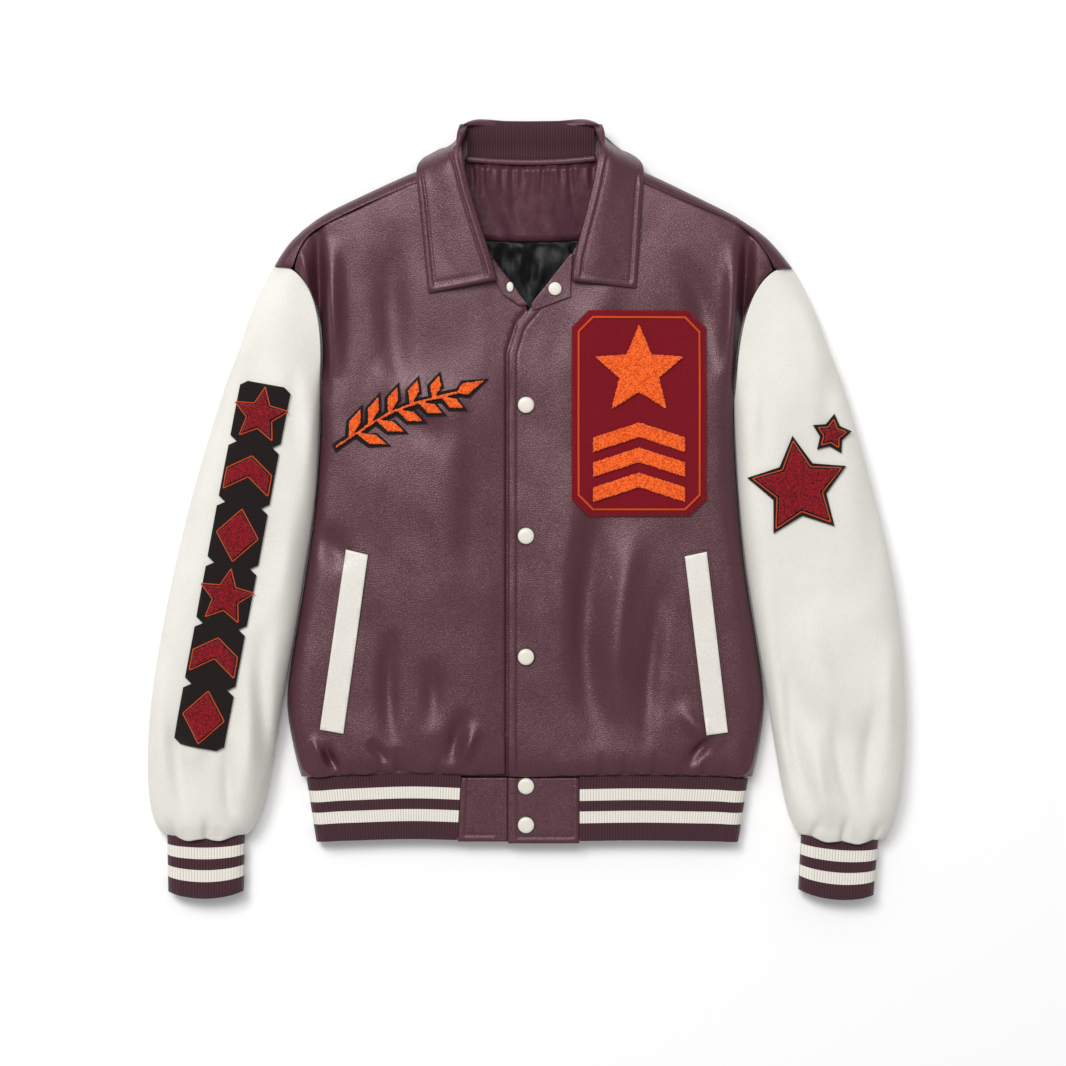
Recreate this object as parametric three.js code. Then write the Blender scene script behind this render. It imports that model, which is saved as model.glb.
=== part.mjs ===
// A varsity jacket laid flat on its back: leather body, wool sleeves, ribbed hem, cuffs and collar stand.
// Millimetres. +Z is up from the surface, +Y runs from the hem to the collar, X runs across the chest.
// Right and left are the wearer's: the right front and right sleeve lie on the -X side.
import * as THREE from "three";
import { mergeVertices } from "three/addons/utils/BufferGeometryUtils.js";
import { TessellateModifier } from "three/addons/modifiers/TessellateModifier.js";

// Driving sizes
const CLOTH = 2; // leather or wool with its lining behind it
const COLLAR_LEATHER = 2.8;
const KNIT = 3; // doubled rib
const SEAM = 0.3;
const SIDE_GAP = 0.8; // between the body's side and the sleeve that lies against it
const BODY_HEIGHT = 30;
const SIDE_SEAM_HEIGHT = 12;
const SIDE_ROLL = 17; // how far in from the side the front panel rounds over
const UNDER_ROLL = 13; // the same below, on the back panel
const WAIST_Y = -270;
const WAIST_HEIGHT = 22;
const WAIST_PUFF = 16; // length over which the front puffs above the hem rib
const HEM_DEPTH = 64;
const RIB_PITCH = 2.8;
const RIB_RISE = 0.7;
const PLACKET_X = -18;
const UNDERLAP_X = 10;
const UNDERLAP_DROP = 2.7;
const SNAP_RADIUS = 8.2;
const SHOULDER_SEAM_AT = 0.085; // share of the armhole between the shoulder's edge and its seam
const COLLAR_CENTRE_X = 4;

const COLOURS = {
  leather: 0x5d444b,
  wool: 0xe9e6df,
  knit: 0x4a2f38,
  cream: 0xf0ece2,
  satin: 0x5a3f4b,
  lining: 0x17181a,
  snap: 0xf3f1ea,
  felt: 0x8d0f1f,
  darkFelt: 0x1d1415,
  chenille: 0xf2601c,
  redChenille: 0x8e1420,
};

const garment = new THREE.Group();

function addPiece(name, geometry, colour, roughness = 0.8) {
  const material = new THREE.MeshStandardMaterial({ color: colour, roughness, metalness: 0 });
  const mesh = new THREE.Mesh(geometry, material);
  mesh.name = name;
  garment.add(mesh);
  return mesh;
}

const clamp = THREE.MathUtils.clamp;
const lerp = THREE.MathUtils.lerp;
const smooth = (from, to, value) => THREE.MathUtils.smoothstep(value, from, to);

// A quarter-round rise from 0 at an edge to 1 at the given distance in from it.
function roll(distance, reach) {
  const share = clamp(distance / reach, 0, 1);
  return Math.sqrt(1 - (1 - share) ** 2);
}

// A smooth value of one column of a table at a place along another column.
function columnAt(table, key, column, place) {
  const rising = table[0][key] < table[table.length - 1][key];
  const rows = rising ? table : [...table].reverse();
  const spot = clamp(place, rows[0][key], rows[rows.length - 1][key]);
  let i = 0;
  while (i < rows.length - 2 && rows[i + 1][key] < spot) i++;
  const slope = (k) => {
    const low = rows[Math.max(k - 1, 0)];
    const high = rows[Math.min(k + 1, rows.length - 1)];
    return (high[column] - low[column]) / (high[key] - low[key]);
  };
  const span = rows[i + 1][key] - rows[i][key];
  const t = (spot - rows[i][key]) / span;
  const start = rows[i][column];
  const end = rows[i + 1][column];
  const bend = (1 - t) * slope(i) * span - t * slope(i + 1) * span + (2 * t - 1) * (end - start);
  return lerp(start, end, t) + t * (1 - t) * bend;
}

// The path through a table's places, read by its share of the length.
function pathOf(places) {
  const curve = new THREE.CatmullRomCurve3(places, false, "centripetal");
  curve.arcLengthDivisions = 400;
  return (share) => curve.getPointAt(clamp(share, 0, 1));
}

// A closed solid from two matching grids of points. Rows that close on themselves make a tube's wall.
function solidBetween(outer, inner, closed) {
  const rows = outer.length;
  const columns = outer[0].length;
  const points = [...outer.flat(), ...inner.flat()];
  const faces = [];
  const outside = (i, j) => i * columns + (j % columns);
  const inside = (i, j) => rows * columns + outside(i, j);
  const quad = (a, b, c, d) => faces.push(a, b, c, a, c, d);
  const steps = closed ? columns : columns - 1;
  for (let i = 0; i < rows - 1; i++) {
    for (let j = 0; j < steps; j++) {
      quad(outside(i, j), outside(i, j + 1), outside(i + 1, j + 1), outside(i + 1, j));
      quad(inside(i, j), inside(i + 1, j), inside(i + 1, j + 1), inside(i, j + 1));
    }
  }
  for (let j = 0; j < steps; j++) {
    quad(outside(0, j), inside(0, j), inside(0, j + 1), outside(0, j + 1));
    const last = rows - 1;
    quad(outside(last, j), outside(last, j + 1), inside(last, j + 1), inside(last, j));
  }
  if (!closed) {
    const last = columns - 1;
    for (let i = 0; i < rows - 1; i++) {
      quad(outside(i, 0), outside(i + 1, 0), inside(i + 1, 0), inside(i, 0));
      quad(outside(i, last), inside(i, last), inside(i + 1, last), outside(i + 1, last));
    }
  }
  const geometry = new THREE.BufferGeometry().setFromPoints(points);
  geometry.setIndex(faces);
  if (volumeOf(geometry) < 0) {
    for (let k = 0; k < faces.length; k += 3) [faces[k], faces[k + 1]] = [faces[k + 1], faces[k]];
    geometry.setIndex(faces);
  }
  return geometry;
}

function volumeOf(geometry) {
  const index = geometry.index.array;
  const place = geometry.attributes.position;
  const corner = [0, 1, 2].map(() => new THREE.Vector3());
  let volume = 0;
  for (let k = 0; k < index.length; k += 3) {
    corner.forEach((point, n) => point.fromBufferAttribute(place, index[k + n]));
    volume += corner[0].dot(corner[1].cross(corner[2])) / 6;
  }
  return volume;
}

// The inner face of a row of outer points: each point goes in by the wall's thickness, at right angles
// to the row, within the upright plane along the row's direction. The row's ends can fix their own way in.
function innerRow(row, along, thickness, closed, ends = {}) {
  const count = row.length;
  return row.map((point, j) => {
    const before = row[closed ? (j + count - 1) % count : Math.max(j - 1, 0)];
    const after = row[closed ? (j + 1) % count : Math.min(j + 1, count - 1)];
    const run = (after.x - before.x) * along.x + (after.y - before.y) * along.y;
    const rise = after.z - before.z;
    const length = Math.hypot(run, rise) || 1;
    let way = [-rise / length, run / length];
    if (j === 0 && ends.first) way = ends.first;
    if (j === count - 1 && ends.last) way = ends.last;
    const flat = -way[0] * thickness;
    const place = new THREE.Vector3(along.x * flat, along.y * flat, -way[1] * thickness);
    return place.add(point);
  });
}

// Grids of outer points kept by piece, so that what is sewn on a panel is made from the panel's own points.
const panels = {};

// The height of a panel's outer face above a place.
function heightOn(panelName) {
  const rows = panels[panelName];
  const triangles = [];
  for (let i = 0; i < rows.length - 1; i++) {
    for (let j = 0; j < rows[0].length - 1; j++) {
      const [a, b, c, d] = [rows[i][j], rows[i][j + 1], rows[i + 1][j + 1], rows[i + 1][j]];
      triangles.push([a, b, c], [a, c, d]);
    }
  }
  return (x, y) => {
    let best = -Infinity;
    for (const [a, b, c] of triangles) {
      const area = (b.x - a.x) * (c.y - a.y) - (c.x - a.x) * (b.y - a.y);
      if (Math.abs(area) < 1e-6) continue;
      const p = ((b.x - x) * (c.y - y) - (c.x - x) * (b.y - y)) / area;
      const q = ((c.x - x) * (a.y - y) - (a.x - x) * (c.y - y)) / area;
      const r = 1 - p - q;
      if (Math.min(p, q, r) < -0.02) continue;
      best = Math.max(best, p * a.z + q * b.z + r * c.z);
    }
    return best;
  };
}

function tessellated(geometry, longest) {
  const fine = new TessellateModifier(longest, 16).modify(geometry);
  fine.deleteAttribute("normal");
  fine.deleteAttribute("uv");
  return mergeVertices(fine, 1e-3);
}

// A flat outline made thick, cut fine enough to bend, and laid over a height above the surface.
function layOver(outline, { height, lift, thickness, bevel = 0, longest = 12, curve = 4 }) {
  const flat = new THREE.ExtrudeGeometry(outline, {
    depth: thickness - 2 * bevel,
    bevelEnabled: bevel > 0,
    bevelThickness: bevel,
    bevelSize: bevel,
    bevelOffset: -bevel,
    bevelSegments: 1,
    curveSegments: curve,
  });
  flat.translate(0, 0, bevel);
  const geometry = tessellated(flat, longest);
  const place = geometry.attributes.position;
  for (let i = 0; i < place.count; i++) {
    place.setZ(i, place.getZ(i) + lift + height(place.getX(i), place.getY(i)));
  }
  return geometry;
}

function outlineOf(places) {
  return new THREE.Shape(places.map(([x, y]) => new THREE.Vector2(x, y)));
}

// Where each side's pieces lie. side is -1 on the wearer's right and +1 on the left.
const RIGHT = {
  name: "right",
  side: -1,
  // The side seam: the body's edge from the armpit down to the waist.
  sideSeam: [
    { y: 107, x: -207 },
    { y: 25, x: -210.5 },
    { y: -10, x: -214 },
    { y: -52, x: -220.5 },
    { y: -134, x: -233.5 },
    { y: -190, x: -243.5 },
    { y: -216, x: -240 },
    { y: -258, x: -231 },
    { y: -270, x: -227 },
  ],
  sleeveLeavesAt: -188,
  armholeBow: 28,
  // The shoulder seam from the neck to the armhole.
  shoulderSeam: [
    [-68, 342],
    [-111, 326],
    [-168, 301],
    [-203, 285],
    [-216, 279],
    [-225, 269],
    [-231.5, 255],
    [-236.5, 240.5],
  ],
  // The shoulder's own edge, where the yoke turns under.
  shoulderEdge: [
    [-67, 353],
    [-109, 340],
    [-156, 319],
    [-204, 296],
    [-218, 288],
    [-235, 272],
    [-247, 256],
    [-254.5, 243.5],
  ],
  // Sections across the sleeve from the armhole to the cuff: outer and inner edge, and height.
  sleeve: [
    { outerX: -254.5, outerY: 243.5, innerX: -207, innerY: 107, height: 30 },
    { outerX: -266, outerY: 222, innerX: -207.5, innerY: 92, height: 35 },
    { outerX: -280, outerY: 188, innerX: -208, innerY: 66, height: 39 },
    { outerX: -295, outerY: 148, innerX: -210, innerY: 36, height: 42 },
    { outerX: -309, outerY: 108, innerX: -213, innerY: 2, height: 43 },
    { outerX: -333, outerY: 28, innerX: -222, innerY: -62, height: 44 },
    { outerX: -353, outerY: -52, innerX: -233, innerY: -130, height: 45 },
    { outerX: -369, outerY: -132, innerX: -243.7, innerY: -188, height: 45 },
    { outerX: -380.5, outerY: -212, innerX: -252, innerY: -243, height: 44 },
    { outerX: -381.5, outerY: -285, innerX: -262, innerY: -293, height: 41 },
    { outerX: -375, outerY: -316, innerX: -271, innerY: -317, height: 36 },
    { outerX: -367, outerY: -328, innerX: -279.5, innerY: -328, height: 28 },
  ],
  cuff: { topX: -323.2, topY: -328.5, bottomX: -323.6, bottomY: -384.5, width: 79, turn: 0 },
  collarFold: [
    { x: -30, y: 228, z: 37 },
    { x: -37.5, y: 255, z: 38 },
    { x: -54, y: 305, z: 39 },
    { x: -63, y: 340, z: 39 },
    { x: -66, y: 362, z: 37 },
    { x: -66, y: 376, z: 32 },
    { x: -62, y: 386.5, z: 22 },
    { x: -46, y: 388.5, z: 13 },
    { x: -20, y: 386, z: 11 },
    { x: 4, y: 384.5, z: 10.6 },
  ],
  collarEdge: [
    { x: -98, y: 215, z: 33.6 },
    { x: -102, y: 250, z: 33.6 },
    { x: -106, y: 296, z: 33.6 },
    { x: -110, y: 326, z: 33.8 },
    { x: -111.5, y: 343, z: 25 },
    { x: -103, y: 354, z: 7 },
    { x: -84, y: 345, z: 0 },
    { x: -54, y: 330, z: 0 },
    { x: -24, y: 327, z: 0 },
    { x: 4, y: 326, z: 0 },
  ],
};

const LEFT = {
  name: "left",
  side: 1,
  sideSeam: [
    { y: 107, x: 207 },
    { y: 25, x: 210.8 },
    { y: -10, x: 213.6 },
    { y: -52, x: 217.6 },
    { y: -90, x: 223.8 },
    { y: -132, x: 230.3 },
    { y: -200, x: 240.6 },
    { y: -232, x: 235 },
    { y: -258, x: 229.8 },
    { y: -270, x: 226.6 },
  ],
  sleeveLeavesAt: -200,
  armholeBow: 26,
  shoulderSeam: [
    [74, 342],
    [117, 326],
    [150, 311],
    [183, 297],
    [219, 282],
    [230, 271],
    [241.5, 256],
    [250, 239],
  ],
  shoulderEdge: [
    [75, 354],
    [114.5, 340],
    [160, 318.5],
    [202, 298],
    [228.6, 284],
    [239, 275],
    [254, 258],
    [267, 241.5],
  ],
  sleeve: [
    { outerX: 267, outerY: 241.5, innerX: 207, innerY: 107, height: 30 },
    { outerX: 279, outerY: 220, innerX: 207.5, innerY: 92, height: 35 },
    { outerX: 293, outerY: 188, innerX: 208.5, innerY: 66, height: 39 },
    { outerX: 309, outerY: 148, innerX: 210.5, innerY: 36, height: 42 },
    { outerX: 323, outerY: 108, innerX: 213, innerY: 2, height: 43 },
    { outerX: 345, outerY: 28, innerX: 219.5, innerY: -62, height: 44 },
    { outerX: 365, outerY: -52, innerX: 231, innerY: -130, height: 45 },
    { outerX: 377, outerY: -132, innerX: 239.5, innerY: -188, height: 45 },
    { outerX: 380.5, outerY: -212, innerX: 248, innerY: -241, height: 44 },
    { outerX: 375.5, outerY: -285, innerX: 256.5, innerY: -291, height: 41 },
    { outerX: 367.5, outerY: -320, innerX: 264.5, innerY: -316, height: 36 },
    { outerX: 358, outerY: -333.5, innerX: 271.5, innerY: -327.5, height: 28 },
  ],
  cuff: { topX: 314.7, topY: -331, bottomX: 309.8, bottomY: -385.5, width: 79, turn: -0.07 },
  collarFold: [
    { x: 45, y: 227, z: 37 },
    { x: 48, y: 255, z: 38 },
    { x: 62, y: 305, z: 39 },
    { x: 69, y: 340, z: 39 },
    { x: 73, y: 362, z: 37 },
    { x: 74, y: 376, z: 32 },
    { x: 70, y: 386.5, z: 22 },
    { x: 54, y: 388.5, z: 13 },
    { x: 28, y: 386, z: 11 },
    { x: 4, y: 384.5, z: 10.6 },
  ],
  collarEdge: [
    { x: 109, y: 220, z: 33.6 },
    { x: 111, y: 250, z: 33.6 },
    { x: 113.5, y: 296, z: 33.6 },
    { x: 116, y: 326, z: 33.8 },
    { x: 117.5, y: 343, z: 25 },
    { x: 110, y: 354, z: 7 },
    { x: 91, y: 345, z: 0 },
    { x: 61, y: 330, z: 0 },
    { x: 32, y: 327, z: 0 },
    { x: 4, y: 326, z: 0 },
  ],
};

// The largest folds: soft troughs (negative) and ridges (positive), straight from one end to the other.
const FOLDS = [
  { x1: -226, y1: 262, x2: -206, y2: 95, width: 9, rise: -3.5 },
  { x1: -212, y1: 262, x2: -199, y2: 120, width: 7, rise: 2 },
  { x1: 228, y1: 262, x2: 208, y2: 105, width: 9, rise: -3.5 },
  { x1: 214, y1: 262, x2: 204, y2: 150, width: 7, rise: 2 },
  { x1: 88, y1: -175, x2: 74, y2: -262, width: 10, rise: -3 },
  { x1: -132, y1: -190, x2: -142, y2: -262, width: 9, rise: -2.5 },
  { x1: -150, y1: 250, x2: -120, y2: 120, width: 16, rise: -2 },
  { x1: 170, y1: 260, x2: 205, y2: 60, width: 14, rise: 1.5 },
  { x1: -268, y1: -180, x2: -262, y2: -290, width: 8, rise: -4 },
  { x1: -345, y1: 20, x2: -330, y2: 130, width: 12, rise: -2 },
  { x1: -340, y1: -240, x2: -318, y2: -322, width: 9, rise: -3 },
  { x1: 262, y1: -120, x2: 330, y2: -230, width: 14, rise: -2.5 },
  { x1: 262, y1: -195, x2: 300, y2: -305, width: 10, rise: -4 },
  { x1: 350, y1: -210, x2: 330, y2: -320, width: 10, rise: -3 },
  { x1: 250, y1: 190, x2: 300, y2: 40, width: 16, rise: 1.5 },
];
// Places along the waist where the body is gathered into the hem rib.
const WAIST_GATHERS = [-190, -175, -147, -141, -125, -89, 75, 98, 105, 128, 133, 178, 196];
const GATHER_LENGTH = 26;
const GATHER_DEPTH = 2.4;
const GATHER_WIDTH = 3.4;

function foldRise(x, y) {
  let rise = 0;
  for (const fold of FOLDS) {
    const run = new THREE.Vector2(fold.x2 - fold.x1, fold.y2 - fold.y1);
    const from = new THREE.Vector2(x - fold.x1, y - fold.y1);
    const share = from.dot(run) / run.lengthSq();
    const off = from.cross(run) / run.length();
    const ends = Math.sin(Math.PI * clamp(share, 0, 1));
    rise += fold.rise * ends * Math.exp(-((off / fold.width) ** 2));
  }
  return rise;
}

function gatherDip(x, y) {
  const reach = 1 - smooth(0, GATHER_LENGTH, y - WAIST_Y);
  let dip = 0;
  for (const place of WAIST_GATHERS) dip += Math.exp(-(((x - place) / GATHER_WIDTH) ** 2));
  return GATHER_DEPTH * Math.min(dip, 1) * reach;
}

// The armhole seam, from the shoulder's edge (0) to the armpit (1): a chord bowed towards the body.
function armholeAt(part, share) {
  const { outerX, outerY, innerX, innerY } = part.sleeve[0];
  return bowedAcross(part, share, outerX, outerY, innerX, innerY, 1);
}

function bowedAcross(part, share, outerX, outerY, innerX, innerY, amount) {
  const run = new THREE.Vector2(innerX - outerX, innerY - outerY);
  const length = run.length();
  const toBody = new THREE.Vector2(-run.y, run.x).multiplyScalar(-part.side / length);
  const rise = 2.7 * part.armholeBow * Math.sqrt(share) * (1 - share) ** 1.1 * amount;
  return new THREE.Vector2(outerX, outerY).addScaledVector(run, share).addScaledVector(toBody, rise);
}

// The armhole's upper edge is low at the armpit, full over the chest, and down at the shoulder's edge.
const ARMHOLE_RISE = 46;
const SHOULDER_DROP = 20;
const ARMHOLE_BELOW = 2; // how far the full armhole stays below the chest
function armholeTop(part, share) {
  const chord = armholeAt(part, 0).distanceTo(armholeAt(part, 1));
  const low = SIDE_SEAM_HEIGHT;
  const rise = roll((1 - share) * chord, ARMHOLE_RISE) * roll(share * chord, SHOULDER_DROP);
  return low + (BODY_HEIGHT - ARMHOLE_BELOW - low) * rise;
}

function sideX(part, y) {
  return columnAt(part.sideSeam, "y", "x", y);
}

const shoulderSeamAt = (part) => pathOf(part.shoulderSeam.map(([x, y]) => new THREE.Vector3(x, y, 0)));
const shoulderEdgeAt = (part) => pathOf(part.shoulderEdge.map(([x, y]) => new THREE.Vector3(x, y, 0)));

// Each front reaches from its centre edge and neckline to the side seam and armhole.
const CENTRE_EDGES = {
  right: [
    [UNDERLAP_X, WAIST_Y],
    [UNDERLAP_X, -120],
    [UNDERLAP_X, 40],
    [UNDERLAP_X, 170],
    [3, 201],
    [-37, 254],
    [-56, 300],
    [-68, 342],
  ],
  left: [
    [PLACKET_X, WAIST_Y],
    [PLACKET_X, -120],
    [PLACKET_X, 40],
    [PLACKET_X, 155],
    [-9, 184],
    [46, 254],
    [63, 300],
    [74, 342],
  ],
};
const BODY_ROWS = [
  { share: 0, y: WAIST_Y },
  { share: 0.03, y: -262 },
  { share: 0.07, y: -250 },
  { share: 0.12, y: -232 },
  { share: 0.2, y: -195 },
  { share: 0.28, y: -155 },
  { share: 0.36, y: -110 },
  { share: 0.44, y: -60 },
  { share: 0.52, y: -10 },
  { share: 0.6, y: 45 },
  { share: 0.66, y: 90 },
  { share: 0.7, y: 122 },
];
const ARMHOLE_ROWS = 8;
const ARMPIT_SHARE = 0.94; // of the armhole, where the side seam meets it
const UNDERLAP_FADE = [-42, -27]; // across the right front, where it starts to sink under the left one
const ARMHOLE_EDGE_ROLL = 8;
const ACROSS = [0, 0.06, 0.15, 0.22, 0.33, 0.45, 0.57, 0.69, 0.8, 0.885, 0.945, 0.985, 1];

function bodyEdge(part, row) {
  if (row < BODY_ROWS.length - 1) {
    const y = BODY_ROWS[row].y;
    return { place: new THREE.Vector2(sideX(part, y), y), height: SIDE_SEAM_HEIGHT, share: 1 };
  }
  const up = (row - BODY_ROWS.length + 1) / ARMHOLE_ROWS;
  const share = lerp(ARMPIT_SHARE, SHOULDER_SEAM_AT, up);
  return { place: armholeAt(part, share), height: armholeTop(part, share), share };
}

const BODY_ROW_COUNT = BODY_ROWS.length + ARMHOLE_ROWS;

function centreEdgeAt(part, row) {
  const places = CENTRE_EDGES[part.name];
  if (row < BODY_ROWS.length) return new THREE.Vector2(places[0][0], BODY_ROWS[row].y);
  const path = pathOf(places.slice(3).map(([x, y]) => new THREE.Vector3(x, y, 0)));
  const up = (row - BODY_ROWS.length + 1) / ARMHOLE_ROWS;
  const place = path(up ** 0.9);
  return new THREE.Vector2(place.x, place.y);
}

function frontHeight(part, place, fromSide, edgeHeight) {
  const puff = roll(place.y - WAIST_Y, WAIST_PUFF);
  const top = lerp(WAIST_HEIGHT, BODY_HEIGHT + foldRise(place.x, place.y), puff);
  const under = part.side < 0 ? smooth(...UNDERLAP_FADE, place.x) * UNDERLAP_DROP : 0;
  const reach = lerp(SIDE_ROLL, ARMHOLE_EDGE_ROLL, smooth(SIDE_SEAM_HEIGHT, BODY_HEIGHT, edgeHeight));
  const base = Math.min(edgeHeight, top);
  return base + (top - under - base) * roll(fromSide, reach) - gatherDip(place.x, place.y) * puff;
}

function makeFront(part) {
  const seam = shoulderSeamAt(part);
  const outer = [];
  const inner = [];
  for (let i = 0; i < BODY_ROW_COUNT; i++) {
    const from = centreEdgeAt(part, i);
    const edge = bodyEdge(part, i);
    const up = i / (BODY_ROW_COUNT - 1);
    const width = from.distanceTo(edge.place);
    const row = ACROSS.map((share) => {
      const place = from.clone().lerp(edge.place, share);
      const onSeam = seam(share);
      const chord = seam(0).lerp(seam(1), share);
      const bend = smooth(0.62, 1, up) ** 2;
      place.x += (onSeam.x - chord.x) * bend;
      place.y += (onSeam.y - chord.y) * bend;
      const height = frontHeight(part, place, (1 - share) * width, edge.height);
      return new THREE.Vector3(place.x, place.y, height);
    });
    const along = edge.place.clone().sub(from).normalize();
    const armhole = i >= BODY_ROWS.length - 1;
    const ends = { first: [0, 1], last: armhole ? [0.3, 0.95] : [1, 0] };
    outer.push(row);
    inner.push(innerRow(row, along, CLOTH, false, ends));
  }
  const name = `front_${part.name}`;
  panels[name] = outer;
  addPiece(name, solidBetween(outer, inner, false), COLOURS.leather, 0.5);
}

// The yoke runs over the shoulder, from the front seam to the shoulder's edge, where the back meets it.
function makeYoke(part) {
  const seam = shoulderSeamAt(part);
  const edge = shoulderEdgeAt(part);
  const front = panels[`front_${part.name}`][BODY_ROW_COUNT - 1];
  const outer = [];
  const inner = [];
  const steps = [0, 0.3, 0.6, 0.85, 0.96, 1];
  ACROSS.forEach((share, j) => {
    const from = seam(share);
    const to = edge(share);
    const along = new THREE.Vector2(to.x - from.x, to.y - from.y);
    const width = along.length();
    along.normalize();
    const backEdge = shoulderEdgeHeight(to.x);
    const low = backEdge + SEAM + CLOTH * (1 - uprightAt(backEdge - SEAM));
    const top = front[j].z;
    const row = steps.map((step) => {
      const out = SEAM * 2 + (width - SEAM * 2) * step;
      const height = low + (top - low) * roll(width - out, width);
      return new THREE.Vector3(from.x + along.x * out, from.y + along.y * out, height);
    });
    outer.push(row);
    inner.push(innerRow(row, along, CLOTH, false, { first: [0, 1], last: [1, 0] }));
  });
  addPiece(`yoke_${part.name}`, solidBetween(outer, inner, false), COLOURS.leather, 0.5);
}

// The shoulder's edge is half-way up the body, and comes down beside the neck to lie on the collar.
const NECK_LIFT = 3.4;
const NECK_HALF = 70;
const NECK_BLEND = 42;
function shoulderEdgeHeight(x) {
  const fromNeck = Math.abs(x - COLLAR_CENTRE_X) - NECK_HALF;
  return lerp(NECK_LIFT + 0.4, SIDE_SEAM_HEIGHT - SEAM, smooth(0, NECK_BLEND, fromNeck));
}

// How far the collar's turned-down back lifts the back panel off the surface.
function collarLift(x, y) {
  const across = 1 - smooth(102, 126, Math.abs(x - COLLAR_CENTRE_X));
  return NECK_LIFT * across * smooth(296, 321, y);
}

// The back lies on the surface. It turns up at the side seams and at the shoulders.
const BACK_ACROSS = [0, 0.01, 0.03, 0.06, 0.12, 0.2, 0.289, 0.3196, 0.34, 0.42];
const BACK_NECK = [
  [-67, 353],
  [-40, 349.5],
  [COLLAR_CENTRE_X, 348.5],
  [48, 350],
  [75, 354],
];
const NECK_SHARE = 0.34; // of the back's width, from each side in to the neckline
function makeBack() {
  const shares = [...BACK_ACROSS, 0.5, ...BACK_ACROSS.map((share) => 1 - share).reverse()];
  const right = shoulderEdgeAt(RIGHT);
  const left = shoulderEdgeAt(LEFT);
  const neck = pathOf(BACK_NECK.map(([x, y]) => new THREE.Vector3(x, y, 0)));
  const topAt = (share) => {
    if (share < NECK_SHARE) return right(1 - share / NECK_SHARE);
    if (share > 1 - NECK_SHARE) return left(1 - (1 - share) / NECK_SHARE);
    return neck((share - NECK_SHARE) / (1 - 2 * NECK_SHARE));
  };
  const outer = [];
  const inner = [];
  for (let i = 0; i < BODY_ROW_COUNT; i++) {
    const last = i === BODY_ROW_COUNT - 1;
    const from = last ? armholeAt(RIGHT, 0) : backEdge(RIGHT, i);
    const to = last ? armholeAt(LEFT, 0) : backEdge(LEFT, i);
    const width = from.distanceTo(to);
    const up = i / (BODY_ROW_COUNT - 1);
    const row = shares.map((share) => {
      const place = from.clone().lerp(to, share);
      const onTop = topAt(share);
      const chordX = lerp(topAt(0).x, topAt(1).x, share);
      const chordY = lerp(topAt(0).y, topAt(1).y, share);
      const bend = smooth(0.5, 1, up);
      place.x += (onTop.x - chordX) * bend ** 2;
      place.y += (onTop.y - chordY) * bend ** 1.3;
      const fromSide = Math.min(share, 1 - share) * width;
      const edge = backEdgeHeight(i, last);
      let height = edge * (1 - roll(fromSide, UNDER_ROLL));
      if (last) height = shoulderEdgeHeight(place.x) - SEAM;
      height = Math.max(height, collarLift(place.x, place.y));
      return new THREE.Vector3(place.x, place.y, height);
    });
    const along = to.clone().sub(from).normalize();
    const armhole = i >= BODY_ROWS.length - 1;
    const ends = armhole ? { first: [0, -1], last: [0, -1] } : { first: [-1, 0], last: [1, 0] };
    outer.push(row);
    inner.push(last ? turnedIn(row, outer[i - 1]) : innerRow(row, along, -CLOTH, false, flipped(ends)));
  }
  panels.backInside = inner;
  addPiece("back", solidBetween(outer, inner, false), COLOURS.leather, 0.5);
}

// At the shoulders the back's last row stands on edge, and at the neck it lies flat.
const uprightAt = (height) => smooth(NECK_LIFT + 0.3, NECK_LIFT + 1.6, height);
function turnedIn(row, before) {
  return row.map((point, j) => {
    const upright = uprightAt(point.z);
    const way = new THREE.Vector3(before[j].x - point.x, before[j].y - point.y, 0).normalize();
    way.multiplyScalar(upright).setZ(1 - upright).normalize();
    return way.multiplyScalar(CLOTH).add(point);
  });
}

function flipped(ends) {
  const turn = ([across, up]) => [-across, -up];
  return { first: turn(ends.first), last: turn(ends.last) };
}

function backEdge(part, row) {
  if (row < BODY_ROWS.length - 1) {
    const y = BODY_ROWS[row].y;
    return new THREE.Vector2(sideX(part, y), y);
  }
  const up = (row - BODY_ROWS.length + 1) / ARMHOLE_ROWS;
  return armholeAt(part, lerp(ARMPIT_SHARE, 0, up));
}

function backEdgeHeight(row, last) {
  if (row < BODY_ROWS.length - 1) return SIDE_SEAM_HEIGHT - SEAM;
  if (last) return SIDE_SEAM_HEIGHT - SEAM;
  const up = (row - BODY_ROWS.length + 1) / ARMHOLE_ROWS;
  return (SIDE_SEAM_HEIGHT - SEAM) * Math.max(1 - up * 5, 0);
}

// A sleeve is a flattened tube. Each section's points run over the top from the outer edge to the inner
// one, and back along the underside, which lies on the surface.
const SLEEVE_SECTIONS = 17;
const SECTIONS_CLOSE_FROM = 0.86; // share of the sleeve past which its sections stand closer
const PLACE_THERE = 0.82; // the same place as a share of the table's rows
const OVER_TOP = [0, 0.015, 0.055, 0.12, 0.21, 0.32, 0.44, 0.56, 0.68, 0.79, 0.88, 0.945, 0.985, 1];
const UNDERSIDE = [0.98, 0.92, 0.78, 0.5, 0.22, 0.08, 0.02];
const EDGE_HEIGHTS = { outer: 18, inner: 14, outerArmhole: 12, innerArmhole: 13, cuff: 12.5 };
const SLEEVE_ROLLS = { outer: 30, inner: 24, under: 19, underArmhole: 12 };
const SLEEVE_CROWN = 2.5;
const CUFF_PUFF = 6; // how far the gathered wool hangs over the cuff, in two lobes
const LOBES_FROM = 0.16; // share of the width where the first lobe starts
const CUFF_GATHERS = 5;
const CUFF_GATHER_RISE = 2.2;

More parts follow.
